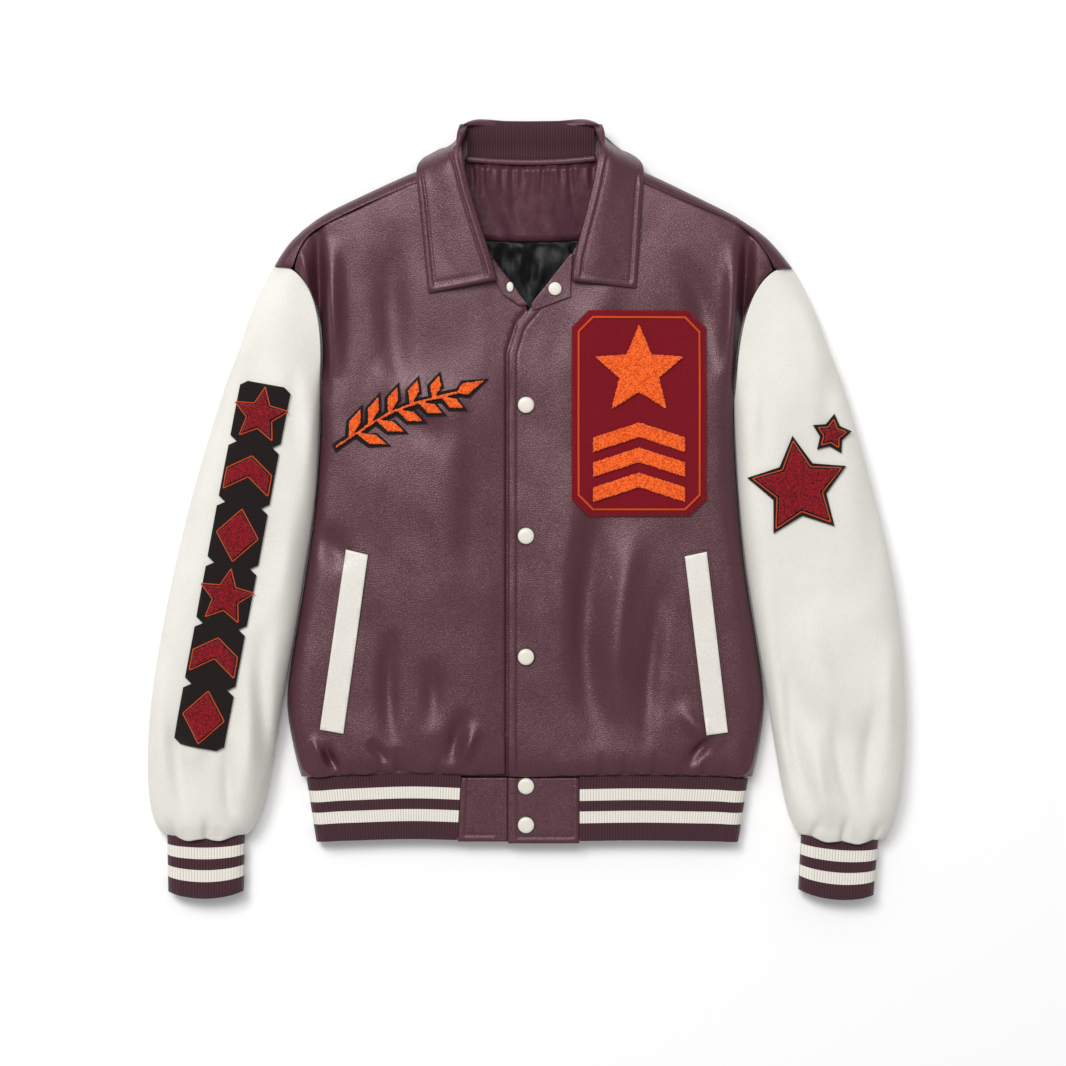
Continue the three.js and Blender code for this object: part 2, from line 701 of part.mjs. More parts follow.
// How far along the sleeve's table a section stands, in rows.
function sleevePlace(section, last) {
  const share = section / SLEEVE_SECTIONS;
  if (share < SECTIONS_CLOSE_FROM) return last * share * (PLACE_THERE / SECTIONS_CLOSE_FROM);
  return last * lerp(PLACE_THERE, 1, (share - SECTIONS_CLOSE_FROM) / (1 - SECTIONS_CLOSE_FROM));
}

// The height of a point of the sleeve's section: w runs across it, and spot is the point's place.
function sleeveHeight(part, { place, last, full, width, w, top, spot }) {
  const outer = w < 0.5;
  const nearBody = 1 - smooth(0, 2.4, place);
  const low = outer ? EDGE_HEIGHTS.outer : EDGE_HEIGHTS.inner;
  const armhole = outer ? EDGE_HEIGHTS.outerArmhole : EDGE_HEIGHTS.innerArmhole;
  const edge = lerp(lerp(low, armhole, nearBody), EDGE_HEIGHTS.cuff, smooth(last - 2, last, place));
  const fromEdge = Math.min(w, 1 - w) * width;
  if (!top) {
    const reach = lerp(SLEEVE_ROLLS.under, SLEEVE_ROLLS.underArmhole, nearBody);
    return edge * (1 - roll(fromEdge, reach));
  }
  if (place < 0.01) return armholeTop(part, w);
  const crown = SLEEVE_CROWN * Math.sin(Math.PI * w) * smooth(0.5, 2, place);
  const folds = foldRise(spot.x, spot.y) * smooth(0.5, 2, place) * (1 - smooth(last - 1, last, place));
  const reach = outer ? SLEEVE_ROLLS.outer : SLEEVE_ROLLS.inner;
  const height = edge + (full + crown + folds - edge) * roll(fromEdge, reach);
  const gathers = Math.cos(2 * Math.PI * CUFF_GATHERS * w) * Math.sin(Math.PI * w);
  const nearCuff = smooth(last - 2.2, last - 0.6, place) * (1 - smooth(last - 0.3, last, place));
  const joined = lerp(height, Math.max(armholeTop(part, w), edge), nearBody);
  return joined + CUFF_GATHER_RISE * gathers * nearCuff;
}

function makeSleeve(part) {
  const table = part.sleeve.map((row, k) => ({ ...row, place: k }));
  const last = table.length - 1;
  const outer = [];
  const inner = [];
  for (let i = 0; i <= SLEEVE_SECTIONS; i++) {
    const place = sleevePlace(i, last);
    const at = (column) => columnAt(table, "place", column, place);
    const outerEdge = new THREE.Vector2(at("outerX"), at("outerY"));
    const innerEdge = new THREE.Vector2(at("innerX"), at("innerY"));
    if (innerEdge.y > part.sleeveLeavesAt) innerEdge.x = sideX(part, innerEdge.y);
    innerEdge.x += part.side * SIDE_GAP;
    const along = innerEdge.clone().sub(outerEdge);
    const width = along.length();
    along.normalize();
    const bow = (1 - smooth(0, 6, place)) ** 1.5;
    const across = (w, top) => {
      const spot = bowedAcross(part, w, outerEdge.x, outerEdge.y, innerEdge.x, innerEdge.y, bow);
      if (i === 0) {
        spot.x += part.side * SIDE_GAP * Math.min(1, 8 * (1 - w));
        spot.y -= SIDE_GAP * 1.4 * (1 - smooth(0.05, 0.3, w));
      }
      const height = sleeveHeight(part, { place, last, full: at("height"), width, w, top, spot });
      if (top && i === SLEEVE_SECTIONS) {
        const lobe = clamp((w - LOBES_FROM) / (1 - 2 * LOBES_FROM), 0, 1);
        spot.y -= CUFF_PUFF * Math.abs(Math.sin(2 * Math.PI * lobe));
      }
      return new THREE.Vector3(spot.x, spot.y, height);
    };
    const row = [...OVER_TOP.map((w) => across(w, true)), ...UNDERSIDE.map((w) => across(w, false))];
    outer.push(row);
    inner.push(innerRow(row, along, CLOTH, true));
  }
  const name = `sleeve_${part.name}`;
  panels[name] = outer.map((row) => row.slice(0, OVER_TOP.length));
  addPiece(name, solidBetween(outer, inner, true), COLOURS.wool, 0.95);
}

// A knitted band's outer face is raised in ribs where it faces up, and its inner face is plain.
function ribbed(from, to, height) {
  const count = Math.round(Math.abs(to - from) / RIB_PITCH);
  const points = [];
  for (let k = 0; k <= 2 * count; k++) {
    const share = k / (2 * count);
    points.push([lerp(from, to, share), height(share) + (k % 2) * RIB_RISE]);
  }
  return points;
}

// Extrudes a section drawn across X and Z along -Y, in a few steps, and bends it afterwards.
function bandOf(outline, length, steps, bend) {
  const geometry = new THREE.ExtrudeGeometry(outline, { depth: 1, steps, bevelEnabled: false });
  geometry.deleteAttribute("normal");
  geometry.deleteAttribute("uv");
  const merged = mergeVertices(geometry, 1e-4);
  const place = merged.attributes.position;
  for (let i = 0; i < place.count; i++) {
    const [x, z, down] = [place.getX(i), place.getY(i), place.getZ(i)];
    const bent = bend(x, z, down, down * length);
    place.setXYZ(i, bent.x, bent.y, bent.z);
  }
  return merged;
}

const HEM_RIGHT_X = -222.5;
const HEM_LEFT_X = 223;
const HEM_HEIGHT = WAIST_HEIGHT - 0.7;
const HEM_TAPER = 0.045;
const TAB_RIGHT_X = -66;
const TAB_LEFT_X = 52.5;
const TAB_SPLAY = 3.5; // how much wider the right tab is at its lower edge
const HEM_TAPER_FROM = [60, 200]; // across, where the hem's narrowing starts and is full
const SPLAY_FADE = [70, 140]; // across, where the rib stops giving way to the tab
const BAND_BELOW = SEAM * 2; // how far the bands start below the waist

// The side of a flat tube, from its top edge to its underside, as a half-round.
function turnedSide(x, side, height, inset, steps = 7) {
  const radius = height / 2;
  const points = [];
  for (let k = 0; k <= steps; k++) {
    const angle = Math.PI / 2 - (Math.PI * k) / steps;
    const out = Math.cos(angle) * (radius - inset);
    points.push([x - side * radius + side * out, radius + Math.sin(angle) * (radius - inset)]);
  }
  return points;
}

function makeHem() {
  const half = HEM_HEIGHT / 2;
  const flat = () => HEM_HEIGHT;
  const outline = [
    ...ribbed(TAB_RIGHT_X - SEAM, HEM_RIGHT_X + half, flat),
    ...turnedSide(HEM_RIGHT_X, -1, HEM_HEIGHT, 0),
    ...turnedSide(HEM_LEFT_X, 1, HEM_HEIGHT, 0).reverse(),
    ...ribbed(HEM_LEFT_X - half, TAB_LEFT_X + SEAM, flat),
    [TAB_LEFT_X + SEAM, HEM_HEIGHT - KNIT],
    ...turnedSide(HEM_LEFT_X, 1, HEM_HEIGHT, KNIT),
    ...turnedSide(HEM_RIGHT_X, -1, HEM_HEIGHT, KNIT).reverse(),
    [TAB_RIGHT_X - SEAM, HEM_HEIGHT - KNIT],
  ];
  const clean = outline.filter(([x, z], k) => {
    const [px, pz] = outline[(k + outline.length - 1) % outline.length];
    return Math.hypot(x - px, z - pz) > 0.05;
  });
  const geometry = bandOf(outlineOf(clean), HEM_DEPTH, 1, (x, z, down, depth) => {
    const outward = smooth(...HEM_TAPER_FROM, Math.abs(x));
    const narrow = 1 - HEM_TAPER * down * outward;
    const besideTab = x < 0 ? TAB_SPLAY * down * (1 - smooth(...SPLAY_FADE, -x)) : 0;
    return new THREE.Vector3(x * narrow - besideTab, WAIST_Y - BAND_BELOW - depth, z);
  });
  addPiece("hem_rib", geometry, COLOURS.knit, 0.95);
}

// The leather ends of the hem band, where the two lowest snaps close it. The right one steps down from the
// band's top to lie under the left one.
const TAB_THICK = 3.4;
const TAB_CLEAR = 0.5; // between the two tabs
const STEP_OUTSIDE = [-30, -22];
const STEP_INSIDE = [-34, -24];
const LEFT_TAB = { from: PLACKET_X - 1, proud: 0.6, edge: 3, longer: 1.8 };
function makeTabs() {
  const top = HEM_HEIGHT;
  const under = top - TAB_THICK - TAB_CLEAR;
  const right = [
    [TAB_RIGHT_X, top],
    [STEP_OUTSIDE[0], top],
    [STEP_OUTSIDE[1], under],
    [UNDERLAP_X, under],
    [UNDERLAP_X, under - TAB_THICK],
    [STEP_INSIDE[1], under - TAB_THICK],
    [STEP_INSIDE[0], top - TAB_THICK],
    [TAB_RIGHT_X, top - TAB_THICK],
  ];
  const left = [
    [LEFT_TAB.from, top + LEFT_TAB.proud],
    [TAB_LEFT_X - LEFT_TAB.edge, top + LEFT_TAB.proud],
    [TAB_LEFT_X, top],
    [TAB_LEFT_X, top - TAB_THICK],
    [LEFT_TAB.from, top - TAB_THICK + 0.2],
  ];
  const lay = (outline, lower) => {
    return bandOf(outlineOf(outline), HEM_DEPTH + lower, 1, (x, z, down, depth) => {
      const splay = x < STEP_INSIDE[0] ? TAB_SPLAY * down : 0;
      return new THREE.Vector3(x - splay, WAIST_Y - BAND_BELOW - depth, z);
    });
  };
  addPiece("hem_tab_right", lay(right, 0), COLOURS.leather, 0.5);
  addPiece("hem_tab_left", lay(left, LEFT_TAB.longer), COLOURS.leather, 0.5);
}

const CUFF_TAPER = 0.025;
const CUFF_HEIGHT = 24.6;
const CUFF_BOW = 7;
function makeCuff(part) {
  const { topX, topY, bottomX, bottomY, width, turn } = part.cuff;
  const half = width / 2;
  const radius = CUFF_HEIGHT / 2;
  const loop = (inset) => [
    ...turnedSide(half, 1, CUFF_HEIGHT, inset, 6),
    ...turnedSide(-half, -1, CUFF_HEIGHT, inset, 6).reverse(),
  ];
  const top = ribbed(-half + radius, half - radius, () => CUFF_HEIGHT).slice(1, -1);
  const outline = outlineOf([...loop(0), ...top]);
  const bore = loop(KNIT).reverse();
  outline.holes.push(new THREE.Path(bore.map(([x, z]) => new THREE.Vector2(x, z))));
  const length = Math.hypot(bottomX - topX, bottomY - topY);
  const geometry = bandOf(outline, length, 3, (x, z, down, depth) => {
    const narrow = 1 - CUFF_TAPER * down;
    const bow = CUFF_BOW * down * (1 - (x / half) ** 2);
    const local = new THREE.Vector2(x * narrow, -depth - bow).rotateAround(new THREE.Vector2(), turn);
    return new THREE.Vector3(topX + local.x, topY + local.y, z);
  });
  addPiece(`cuff_${part.name}`, geometry, COLOURS.knit, 0.95);
}

// The leather collar: one leaf on each front, joined behind the neck, where it turns down under the back.
const COLLAR_ROWS = 12;
function makeCollar() {
  const half = (part) => {
    const places = (table) => table.map(({ x, y, z }) => new THREE.Vector3(x, y, z));
    const fold = new THREE.CatmullRomCurve3(places(part.collarFold), false, "centripetal");
    const edge = new THREE.CatmullRomCurve3(places(part.collarEdge), false, "centripetal");
    return Array.from({ length: COLLAR_ROWS }, (_, k) => {
      const share = k / (COLLAR_ROWS - 1);
      return collarRow(fold.getPoint(share), edge.getPoint(share), share);
    });
  };
  const right = half(RIGHT);
  const left = half(LEFT).reverse().slice(1);
  const outer = [...right, ...left];
  const inner = offsetGrid(outer, COLLAR_LEATHER);
  addPiece("collar", solidBetween(outer, inner, false), COLOURS.leather, 0.5);
}

// One row across the collar: it starts under the roll, goes over it, and runs out to the free edge. The
// columns are the row on a leaf and the row behind the neck, where the collar turns down under the back.
const BEHIND_FROM = [0.42, 0.62]; // share of the fold's length where the leaf turns into the back part
const COLLAR_SECTION = {
  startOut: { leaf: 2.5, behind: 3 },
  overOut: { leaf: 4, behind: -4 },
  overUp: { leaf: 1.8, behind: -3 },
  overAlong: { leaf: 0, behind: 0.72 },
};
const ROLL_RISE = 2.2;
const LEAF_CROWN = 1.4;
const RIM = { out: -5, least: 3.4, lift: 3, from: 0.33, length: 0.3 };
const COLLAR_POINTS = 12;
function collarRow(fold, edge, share) {
  const behind = smooth(...BEHIND_FROM, share);
  const of = ({ leaf, behind: back }) => lerp(leaf, back, behind);
  const outward = new THREE.Vector3(edge.x - fold.x, edge.y - fold.y, 0).normalize();
  const from = (out, up, along = 0) => {
    return fold.clone().addScaledVector(outward, out).add(new THREE.Vector3(0, along, up));
  };
  const start = from(of(COLLAR_SECTION.startOut), -lerp(5, 2.6, behind) * (1 - behind));
  const over = from(of(COLLAR_SECTION.overOut), of(COLLAR_SECTION.overUp), of(COLLAR_SECTION.overAlong));
  const bend = fold.clone().lerp(edge, 0.3);
  bend.z = lerp(fold.z + ROLL_RISE, 0, behind);
  bend.z += RIM.lift * Math.sin(Math.PI * clamp((share - RIM.from) / RIM.length, 0, 1));
  const middle = fold.clone().lerp(edge, 0.62);
  middle.z = lerp(lerp(fold.z, edge.z, 0.5) + LEAF_CROWN, 0, behind);
  if (behind > 0) {
    const rim = from(RIM.out, 0);
    rim.z = Math.max(fold.z / 2, RIM.least);
    over.lerp(rim, behind);
    const foot = from(2, 0);
    foot.z = 0;
    bend.lerp(foot, behind);
  }
  const points = [start, fold.clone(), over, bend, middle, edge.clone()];
  const curve = new THREE.CatmullRomCurve3(points, false, "centripetal");
  return Array.from({ length: COLLAR_POINTS }, (_, k) => {
    const place = curve.getPoint(k / (COLLAR_POINTS - 1));
    place.z = Math.max(place.z, 0);
    return place;
  });
}

// The inner face of any grid: each point goes in along the grid's own normal.
function offsetGrid(rows, thickness) {
  const at = (i, j) => rows[clamp(i, 0, rows.length - 1)][clamp(j, 0, rows[0].length - 1)];
  return rows.map((row, i) =>
    row.map((point, j) => {
      const down = at(i + 1, j).clone().sub(at(i - 1, j));
      const across = at(i, j + 1).clone().sub(at(i, j - 1));
      const normal = down.cross(across).normalize();
      return point.clone().addScaledVector(normal, -thickness);
    }),
  );
}

// The ribbed stand lies inside the neck, from the neck seam up to the collar's fold.
const STAND_RIGHT_X = -60;
const STAND_LEFT_X = 68;
const STAND_FOOT_Y = 350.6;
const STAND_TOP_Y = 381.5;
const STAND_UNDER = 3.5;
const STAND_THICK = 2.6;
function makeStand() {
  const top = STAND_UNDER + STAND_THICK;
  const outline = [
    ...ribbed(STAND_RIGHT_X, STAND_LEFT_X, () => top),
    [STAND_LEFT_X, STAND_UNDER],
    [COLLAR_CENTRE_X, STAND_UNDER],
    [STAND_RIGHT_X, STAND_UNDER],
  ];
  const geometry = bandOf(outlineOf(outline), STAND_TOP_Y - STAND_FOOT_Y, 1, (x, z, down) => {
    const out = (x - COLLAR_CENTRE_X) / (STAND_LEFT_X - COLLAR_CENTRE_X);
    const foot = STAND_FOOT_Y + 3 * out * out;
    const head = STAND_TOP_Y - 2 * Math.abs(out) ** 6 + 1.5 * out * out;
    return new THREE.Vector3(x, lerp(head, foot, down), z + 1.2 * out * out);
  });
  addPiece("collar_stand", geometry, COLOURS.knit, 0.95);
}

// A rectangle of cloth with a wavy upper face, such as the gathered facing and the lining behind the neck.
function clothOn({ columns, rows, place, thickness }) {
  const outer = [];
  const inner = [];
  for (let i = 0; i <= rows; i++) {
    const row = [];
    const under = [];
    for (let j = 0; j <= columns; j++) {
      const point = place(j / columns, i / rows);
      row.push(point);
      under.push(new THREE.Vector3(point.x, point.y, point.z - thickness));
    }
    outer.push(row);
    inner.push(under);
  }
  return solidBetween(outer, inner, false);
}

const FACING_FOOT_Y = 271;
const FACING_TOP_Y = 347;
const FACING_THICK = 1.4;
const FACING_GATHERS = 9;
const LINING_FOOT_Y = 186;
const NECK_CLEAR = 0.35;

function makeNeckLining() {
  const inside = heightOn("backInside");
  const backTop = (x, y) => Math.max(inside(x, y), CLOTH) + NECK_CLEAR;
  const facing = clothOn({
    columns: 24,
    rows: 3,
    thickness: FACING_THICK,
    place: (across, up) => {
      const half = lerp(60, 67, up);
      const x = COLLAR_CENTRE_X + lerp(-half, half, across);
      const arc = 3 * (2 * across - 1) ** 2;
      const y = lerp(FACING_FOOT_Y - 1.5 + arc, FACING_TOP_Y - 1.5 + arc, up);
      const gather = 0.8 + 0.8 * Math.cos(2 * Math.PI * FACING_GATHERS * across + 1.4 * up);
      const lift = gather * smooth(0.2, 0.75, up);
      return new THREE.Vector3(x, y, backTop(x, y) + FACING_THICK + lift);
    },
  });
  addPiece("neck_facing", facing, COLOURS.satin, 0.4);
  const lining = clothOn({
    columns: 8,
    rows: 4,
    thickness: FACING_THICK,
    place: (across, up) => {
      const x = COLLAR_CENTRE_X + lerp(-58, 58, across);
      const arc = 3 * (2 * across - 1) ** 2;
      const y = lerp(LINING_FOOT_Y, FACING_FOOT_Y - 1.5 - SEAM + arc, up);
      const wave = 1.2 + 1.2 * Math.sin(9 * across + 3 * up) * smooth(0, 0.3, 1 - up);
      return new THREE.Vector3(x, y, backTop(x, y) + FACING_THICK + wave);
    },
  });
  addPiece("back_lining", lining, COLOURS.lining, 0.4);
  const seam = new THREE.CatmullRomCurve3([
    new THREE.Vector3(-62, 352, 10.2),
    new THREE.Vector3(-30, 349.6, 9.4),
    new THREE.Vector3(COLLAR_CENTRE_X, 348.7, 9.1),
    new THREE.Vector3(38, 349.8, 9.4),
    new THREE.Vector3(70, 352.6, 10.2),
  ]);
  const section = new THREE.Shape();
  section.absellipse(0, 0, 1.2, 3, 0, 2 * Math.PI);
  const binding = new THREE.ExtrudeGeometry(section, {
    extrudePath: seam,
    steps: 12,
    curveSegments: 2,
    bevelEnabled: false,
  });
  addPiece("neck_binding", binding, COLOURS.satin, 0.5);
}

// The fronts' top corners turn out over the chest and show the leather facing.
const CORNERS = {
  right: [
    [1, 203],
    [-35.5, 252],
    [-46, 251],
    [-38, 236],
    [-24, 213],
    [-8, 202],
  ],
  left: [
    [4, 204],
    [43.5, 254],
    [46.5, 254],
    [44.5, 234],
    [43.5, 211],
    [28, 205],
    [6, 197.5],
  ],
};
const CORNER_LIFT = 0.5;
const CORNER_THICK = 2.2;
function makeCorner(part) {
  const height = topOf(part);
  const geometry = layOver(outlineOf(CORNERS[part.name]), {
    height,
    lift: CORNER_LIFT,
    thickness: CORNER_THICK,
    bevel: 0.5,
    longest: 30,
  });
  addPiece(`corner_${part.name}`, geometry, COLOURS.leather, 0.5);
}

// The outer face of a front, or of the sleeve beside it, wherever a place lies.
function topOf(part) {
  const front = heightOn(`front_${part.name}`);
  const sleeve = heightOn(`sleeve_${part.name}`);
  return (x, y) => {
    const height = Math.max(front(x, y), sleeve(x, y));
    if (Number.isFinite(height)) return height;
    return frontHeight(part, new THREE.Vector2(x, y), BODY_HEIGHT, BODY_HEIGHT);
  };
}

const WELTS = {
  right: [
    [-181.3, -41.4],
    [-159, -46.8],
    [-183.4, -225.8],
    [-207, -221.6],
  ],
  left: [
    [157.6, -48.3],
    [179.7, -43.7],
    [200.9, -224.4],
    [179.3, -227.2],
  ],
};
function makeWelt(part) {
  const geometry = layOver(outlineOf(WELTS[part.name]), {
    height: topOf(part),
    lift: 0.4,
    thickness: 2.4,
    bevel: 0.6,
    longest: 95,
  });
  addPiece(`pocket_welt_${part.name}`, geometry, COLOURS.cream, 0.5);
}

// Snap caps: a low dome with a turned edge.
const SNAP_PROFILE = [
  [0, 0],
  [1, 0],
  [1, 0.2],
  [0.84, 0.33],
  [0, 0.44],
];
const SNAP_SIDES = 12;
function snapCap(radius) {
  const profile = SNAP_PROFILE.map(([out, up]) => new THREE.Vector2(out * radius, up * radius));
  return new THREE.LatheGeometry(profile, SNAP_SIDES).rotateX(Math.PI / 2);
}

const SNAPS = [
  { name: "snap_1", x: -1, y: 103 },
  { name: "snap_2", x: -1, y: -28 },
  { name: "snap_3", x: -1, y: -149 },
  { name: "snap_4", x: -1, y: -279 },
  { name: "snap_5", x: -1, y: -318 },
];
function makeSnaps() {
  const front = heightOn("front_left");
  for (const { name, x, y } of SNAPS) {
    const onHem = y < WAIST_Y;
    const base = onHem ? HEM_HEIGHT + 0.6 : discTop(front, x, y, SNAP_RADIUS);
    const cap = addPiece(name, snapCap(SNAP_RADIUS), COLOURS.snap, 0.35);
    cap.position.set(x, y, base + SEAM);
  }
  const onCorner = (part, x, y, radius, name, lean) => {
    const base = discTop(topOf(part), x, y, radius) + CORNER_LIFT + CORNER_THICK;
    const cap = addPiece(name, snapCap(radius), COLOURS.snap, 0.35);
    cap.position.set(x, y, base + SEAM);
    cap.scale.x = lean;
  };
  onCorner(LEFT, 28, 219, 6.7, "snap_neck_cap", 1);
  onCorner(RIGHT, -17, 221, 5, "snap_neck_socket", 0.7);
}

// The highest place under a small disc, so that a rigid cap seats on it without cutting in.
function discTop(height, x, y, radius) {
  let top = height(x, y);
  for (let k = 0; k < 12; k++) {
    const angle = (Math.PI * k) / 6;
    const rim = height(x + radius * Math.cos(angle), y + radius * Math.sin(angle));
    if (Number.isFinite(rim)) top = Math.max(top, rim);
  }
  return top;
}

// Plain motifs for the sewn patches
function starPlaces(x, y, radius, turn = 0, waist = 0.45) {
  return Array.from({ length: 10 }, (_, k) => {
    const angle = Math.PI / 2 + turn + (Math.PI * k) / 5;
    const reach = k % 2 ? radius * waist : radius;
    return [x + reach * Math.cos(angle), y + reach * Math.sin(angle)];
  });
}

function chevronPlaces(x, y, width, rise, depth) {
  const half = width / 2;
  return [
    [x - half, y],
    [x, y + rise],
    [x + half, y],
    [x + half, y - depth],
    [x, y + rise - depth],
    [x - half, y - depth],
  ];
}

function plaquePlaces(x, y, width, height, cut) {
  const [w, h] = [width / 2, height / 2];
  return [
    [x - w + cut, y - h],
    [x + w - cut, y - h],
    [x + w, y - h + cut],
    [x + w, y + h - cut],
    [x + w - cut, y + h],
    [x - w + cut, y + h],
    [x - w, y + h - cut],
    [x - w, y - h + cut],
  ];
}

function turned(places, x, y, angle) {
  const [cos, sin] = [Math.cos(angle), Math.sin(angle)];
  return places.map(([px, py]) => [x + px * cos - py * sin, y + px * sin + py * cos]);
}

const FELT_LIFT = 1;
const FELT_THICK = 1.5;
const CHENILLE_THICK = 2.6;
const ON_FELT = FELT_LIFT + FELT_THICK + SEAM;

// On the sleeves, which curve more than the chest, the patches stand a little prouder.
const SLEEVE_PROUD = 0.4;

function addFelt(name, places, height, colour, longest = 60, proud = 0) {
  const lift = FELT_LIFT + proud;
  const geometry = layOver(outlineOf(places), { height, lift, thickness: FELT_THICK, longest });
  addPiece(name, geometry, colour, 1);
}

function addChenille(name, places, height, colour, longest = 42, proud = 0) {
  const geometry = layOver(outlineOf(places), {
    height,
    lift: ON_FELT + 2 * proud,
    thickness: CHENILLE_THICK,
    bevel: 0.9,
    longest,
  });
  addPiece(name, geometry, colour, 1);
}

// The large patch on the left chest: a felt plaque with an inset line, a star and chevrons in chenille.
const PLAQUE = { x: 112, y: 94.5, width: 135, height: 206, cut: 17 };
function makeChestPatch() {
  const height = topOf(LEFT);
  const { x, y, width, height: tall, cut } = PLAQUE;
  addFelt("chest_plaque", plaquePlaces(x, y, width, tall, cut), height, COLOURS.felt);
  const line = outlineOf(plaquePlaces(x, y, width - 12, tall - 12, cut - 2));
  const hole = plaquePlaces(x, y, width - 16, tall - 16, cut - 3).reverse();
  line.holes.push(new THREE.Path(hole.map(([px, py]) => new THREE.Vector2(px, py))));
  const ring = layOver(line, { height, lift: ON_FELT, thickness: 0.9, longest: 60 });
  addPiece("chest_plaque_line", ring, COLOURS.chenille, 1);
  addChenille("chest_star", starPlaces(x, y + 42, 47), height, COLOURS.chenille);
  for (let k = 0; k < 3; k++) {
    const places = chevronPlaces(x, y - 24 - 25 * k, 92, 15, 15);
    addChenille(`chest_chevron_${k + 1}`, places, height, COLOURS.chenille);
  }
}

// The sprig on the right chest: leaves in pairs along a bent stem, and one at its tip.
const SPRIG = { x: -184, y: 64, length: 120, turn: 0.42, pairs: 5, spacing: 23, leaf: 31, half: 7 };
function sprigPlaces(grow) {
  const { x, y, length, turn, pairs, spacing, leaf, half } = SPRIG;
  const stem = 1.8 + grow;
  const bendAt = (s) => 9 * Math.sin((Math.PI * s) / length);
  const side = (up) => {
    const places = [];
    for (let k = 0; k < pairs; k++) {
      const root = 10 + k * spacing + (up > 0 ? 0 : 9);
      const size = leaf * (1 - 0.06 * k);
      const lean = 0.8 + 0.03 * k;
      const along = (s, off) => {
        const px = root + s * Math.cos(lean) - off * Math.sin(lean);
        const py = s * Math.sin(lean) + off * Math.cos(lean);
        return [px, bendAt(root) + up * (py + 1)];
      };
      const wide = half + grow;
      places.push([root - 2.4 - grow, bendAt(root) + up * stem]);
      places.push(along(size * 0.45, wide));
      places.push(along(size + grow * 1.5, 0));
      places.push(along(size * 0.52, -wide * 0.75));
      places.push([root + 2.4 + grow, bendAt(root) + up * stem]);
    }
    return places;
  };
  const tip = (s, off) => [length + 6 + s, off];
  const wide = half + grow;
  const end = [tip(0, stem), tip(8, wide), tip(30 + grow * 1.5, 0), tip(8, -wide), tip(0, -stem)];
  const start = [[-8 - grow, -stem], [-8 - grow, stem]];
  const places = [...start, ...side(1), ...end, ...side(-1).reverse()];
  return turned(places, x, y, turn);
}

function makeSprig() {
  const height = topOf(RIGHT);
  addFelt("sprig_felt", sprigPlaces(2.6), height, COLOURS.darkFelt, 40);
  addChenille("sprig_chenille", sprigPlaces(-0.6), height, COLOURS.chenille, 60);
}

// The column down the right sleeve: a felt strip, narrower between its motifs.
const COLUMN = { x1: -265, y1: 93, x2: -321, y2: -208, width: 51, neck: 36, end: 37, notch: 5, count: 6 };
function makeColumn() {
  const height = topOf(RIGHT);
  const { x1, y1, x2, y2, width, neck, end, notch, count } = COLUMN;
  const turn = Math.atan2(y1 - y2, x1 - x2) - Math.PI / 2;
  const half = Math.hypot(x2 - x1, y2 - y1) / (count - 1) / 2;
  const at = (places, k) => {
    const share = k / (count - 1);
    return turned(places, lerp(x1, x2, share), lerp(y1, y2, share), turn);
  };
  // One motif's stretch of the strip's edge, on the side where side is 1 or -1, from its top down.
  const edge = (k, side) => {
    const top = k === 0 ? end : neck;
    const bottom = k === count - 1 ? end : neck;
    const full = width / 2;
    const places = [[top / 2, half], [full, half - notch], [full, notch - half], [bottom / 2, -half]];
    return at(places.map(([x, y]) => [side * x, y]), k);
  };
  const motifs = Array.from({ length: count }, (_, k) => k);
  const down = motifs.flatMap((k) => edge(k, 1));
  const up = motifs.flatMap((k) => edge(k, -1)).reverse();
  const clean = [...down, ...up].filter(([x, y], k, all) => {
    const [px, py] = all[(k + all.length - 1) % all.length];
    return Math.hypot(x - px, y - py) > 0.5;
  });
  addFelt("column_felt", clean, height, COLOURS.darkFelt, 42, SLEEVE_PROUD);
  for (const k of motifs) {
    let places;
    if (k % 3 === 0) places = starPlaces(0, -1, 25);
    else if (k % 3 === 1) places = chevronPlaces(0, 2, 42, 15, 17);
    else places = [[0, 24], [19, 0], [0, -24], [-19, 0]];
    addChenille(`column_motif_${k + 1}`, at(places, k), height, COLOURS.redChenille, 20, SLEEVE_PROUD);
  }
}

// Two stars on the left sleeve.
const SLEEVE_STARS = [
  { name: "large", x: 270, y: 20, radius: 50, turn: 0.12 },
  { name: "small", x: 303, y: 73, radius: 19, turn: -0.15 },
];
function makeStars() {
  const height = topOf(LEFT);
  for (const { name, x, y, radius, turn } of SLEEVE_STARS) {
    const felt = starPlaces(x, y, radius, turn, 0.52);
    const chenille = starPlaces(x, y, radius - 7, turn, 0.5);
    addFelt(`star_felt_${name}`, felt, height, COLOURS.darkFelt, 16, SLEEVE_PROUD);
    addChenille(`star_chenille_${name}`, chenille, height, COLOURS.redChenille, 16, SLEEVE_PROUD);
  }
}

makeFront(RIGHT);
makeFront(LEFT);
makeYoke(RIGHT);
makeYoke(LEFT);
makeBack();
makeSleeve(RIGHT);
makeSleeve(LEFT);
makeHem();
makeTabs();
makeCuff(RIGHT);
makeCuff(LEFT);
makeCollar();
makeStand();
makeNeckLining();
makeCorner(RIGHT);
makeCorner(LEFT);
makeWelt(RIGHT);
makeWelt(LEFT);
makeSnaps();
makeChestPatch();
makeSprig();
makeColumn();
makeStars();

export default garment;
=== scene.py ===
"""A varsity jacket laid flat: leather body, wool sleeves, striped rib bands and sewn chenille patches."""

import math
from collections import namedtuple
from functools import partial

import bmesh
import bpy
from mathutils import Matrix, Vector, noise
from mathutils.bvhtree import BVHTree
from mathutils.kdtree import KDTree


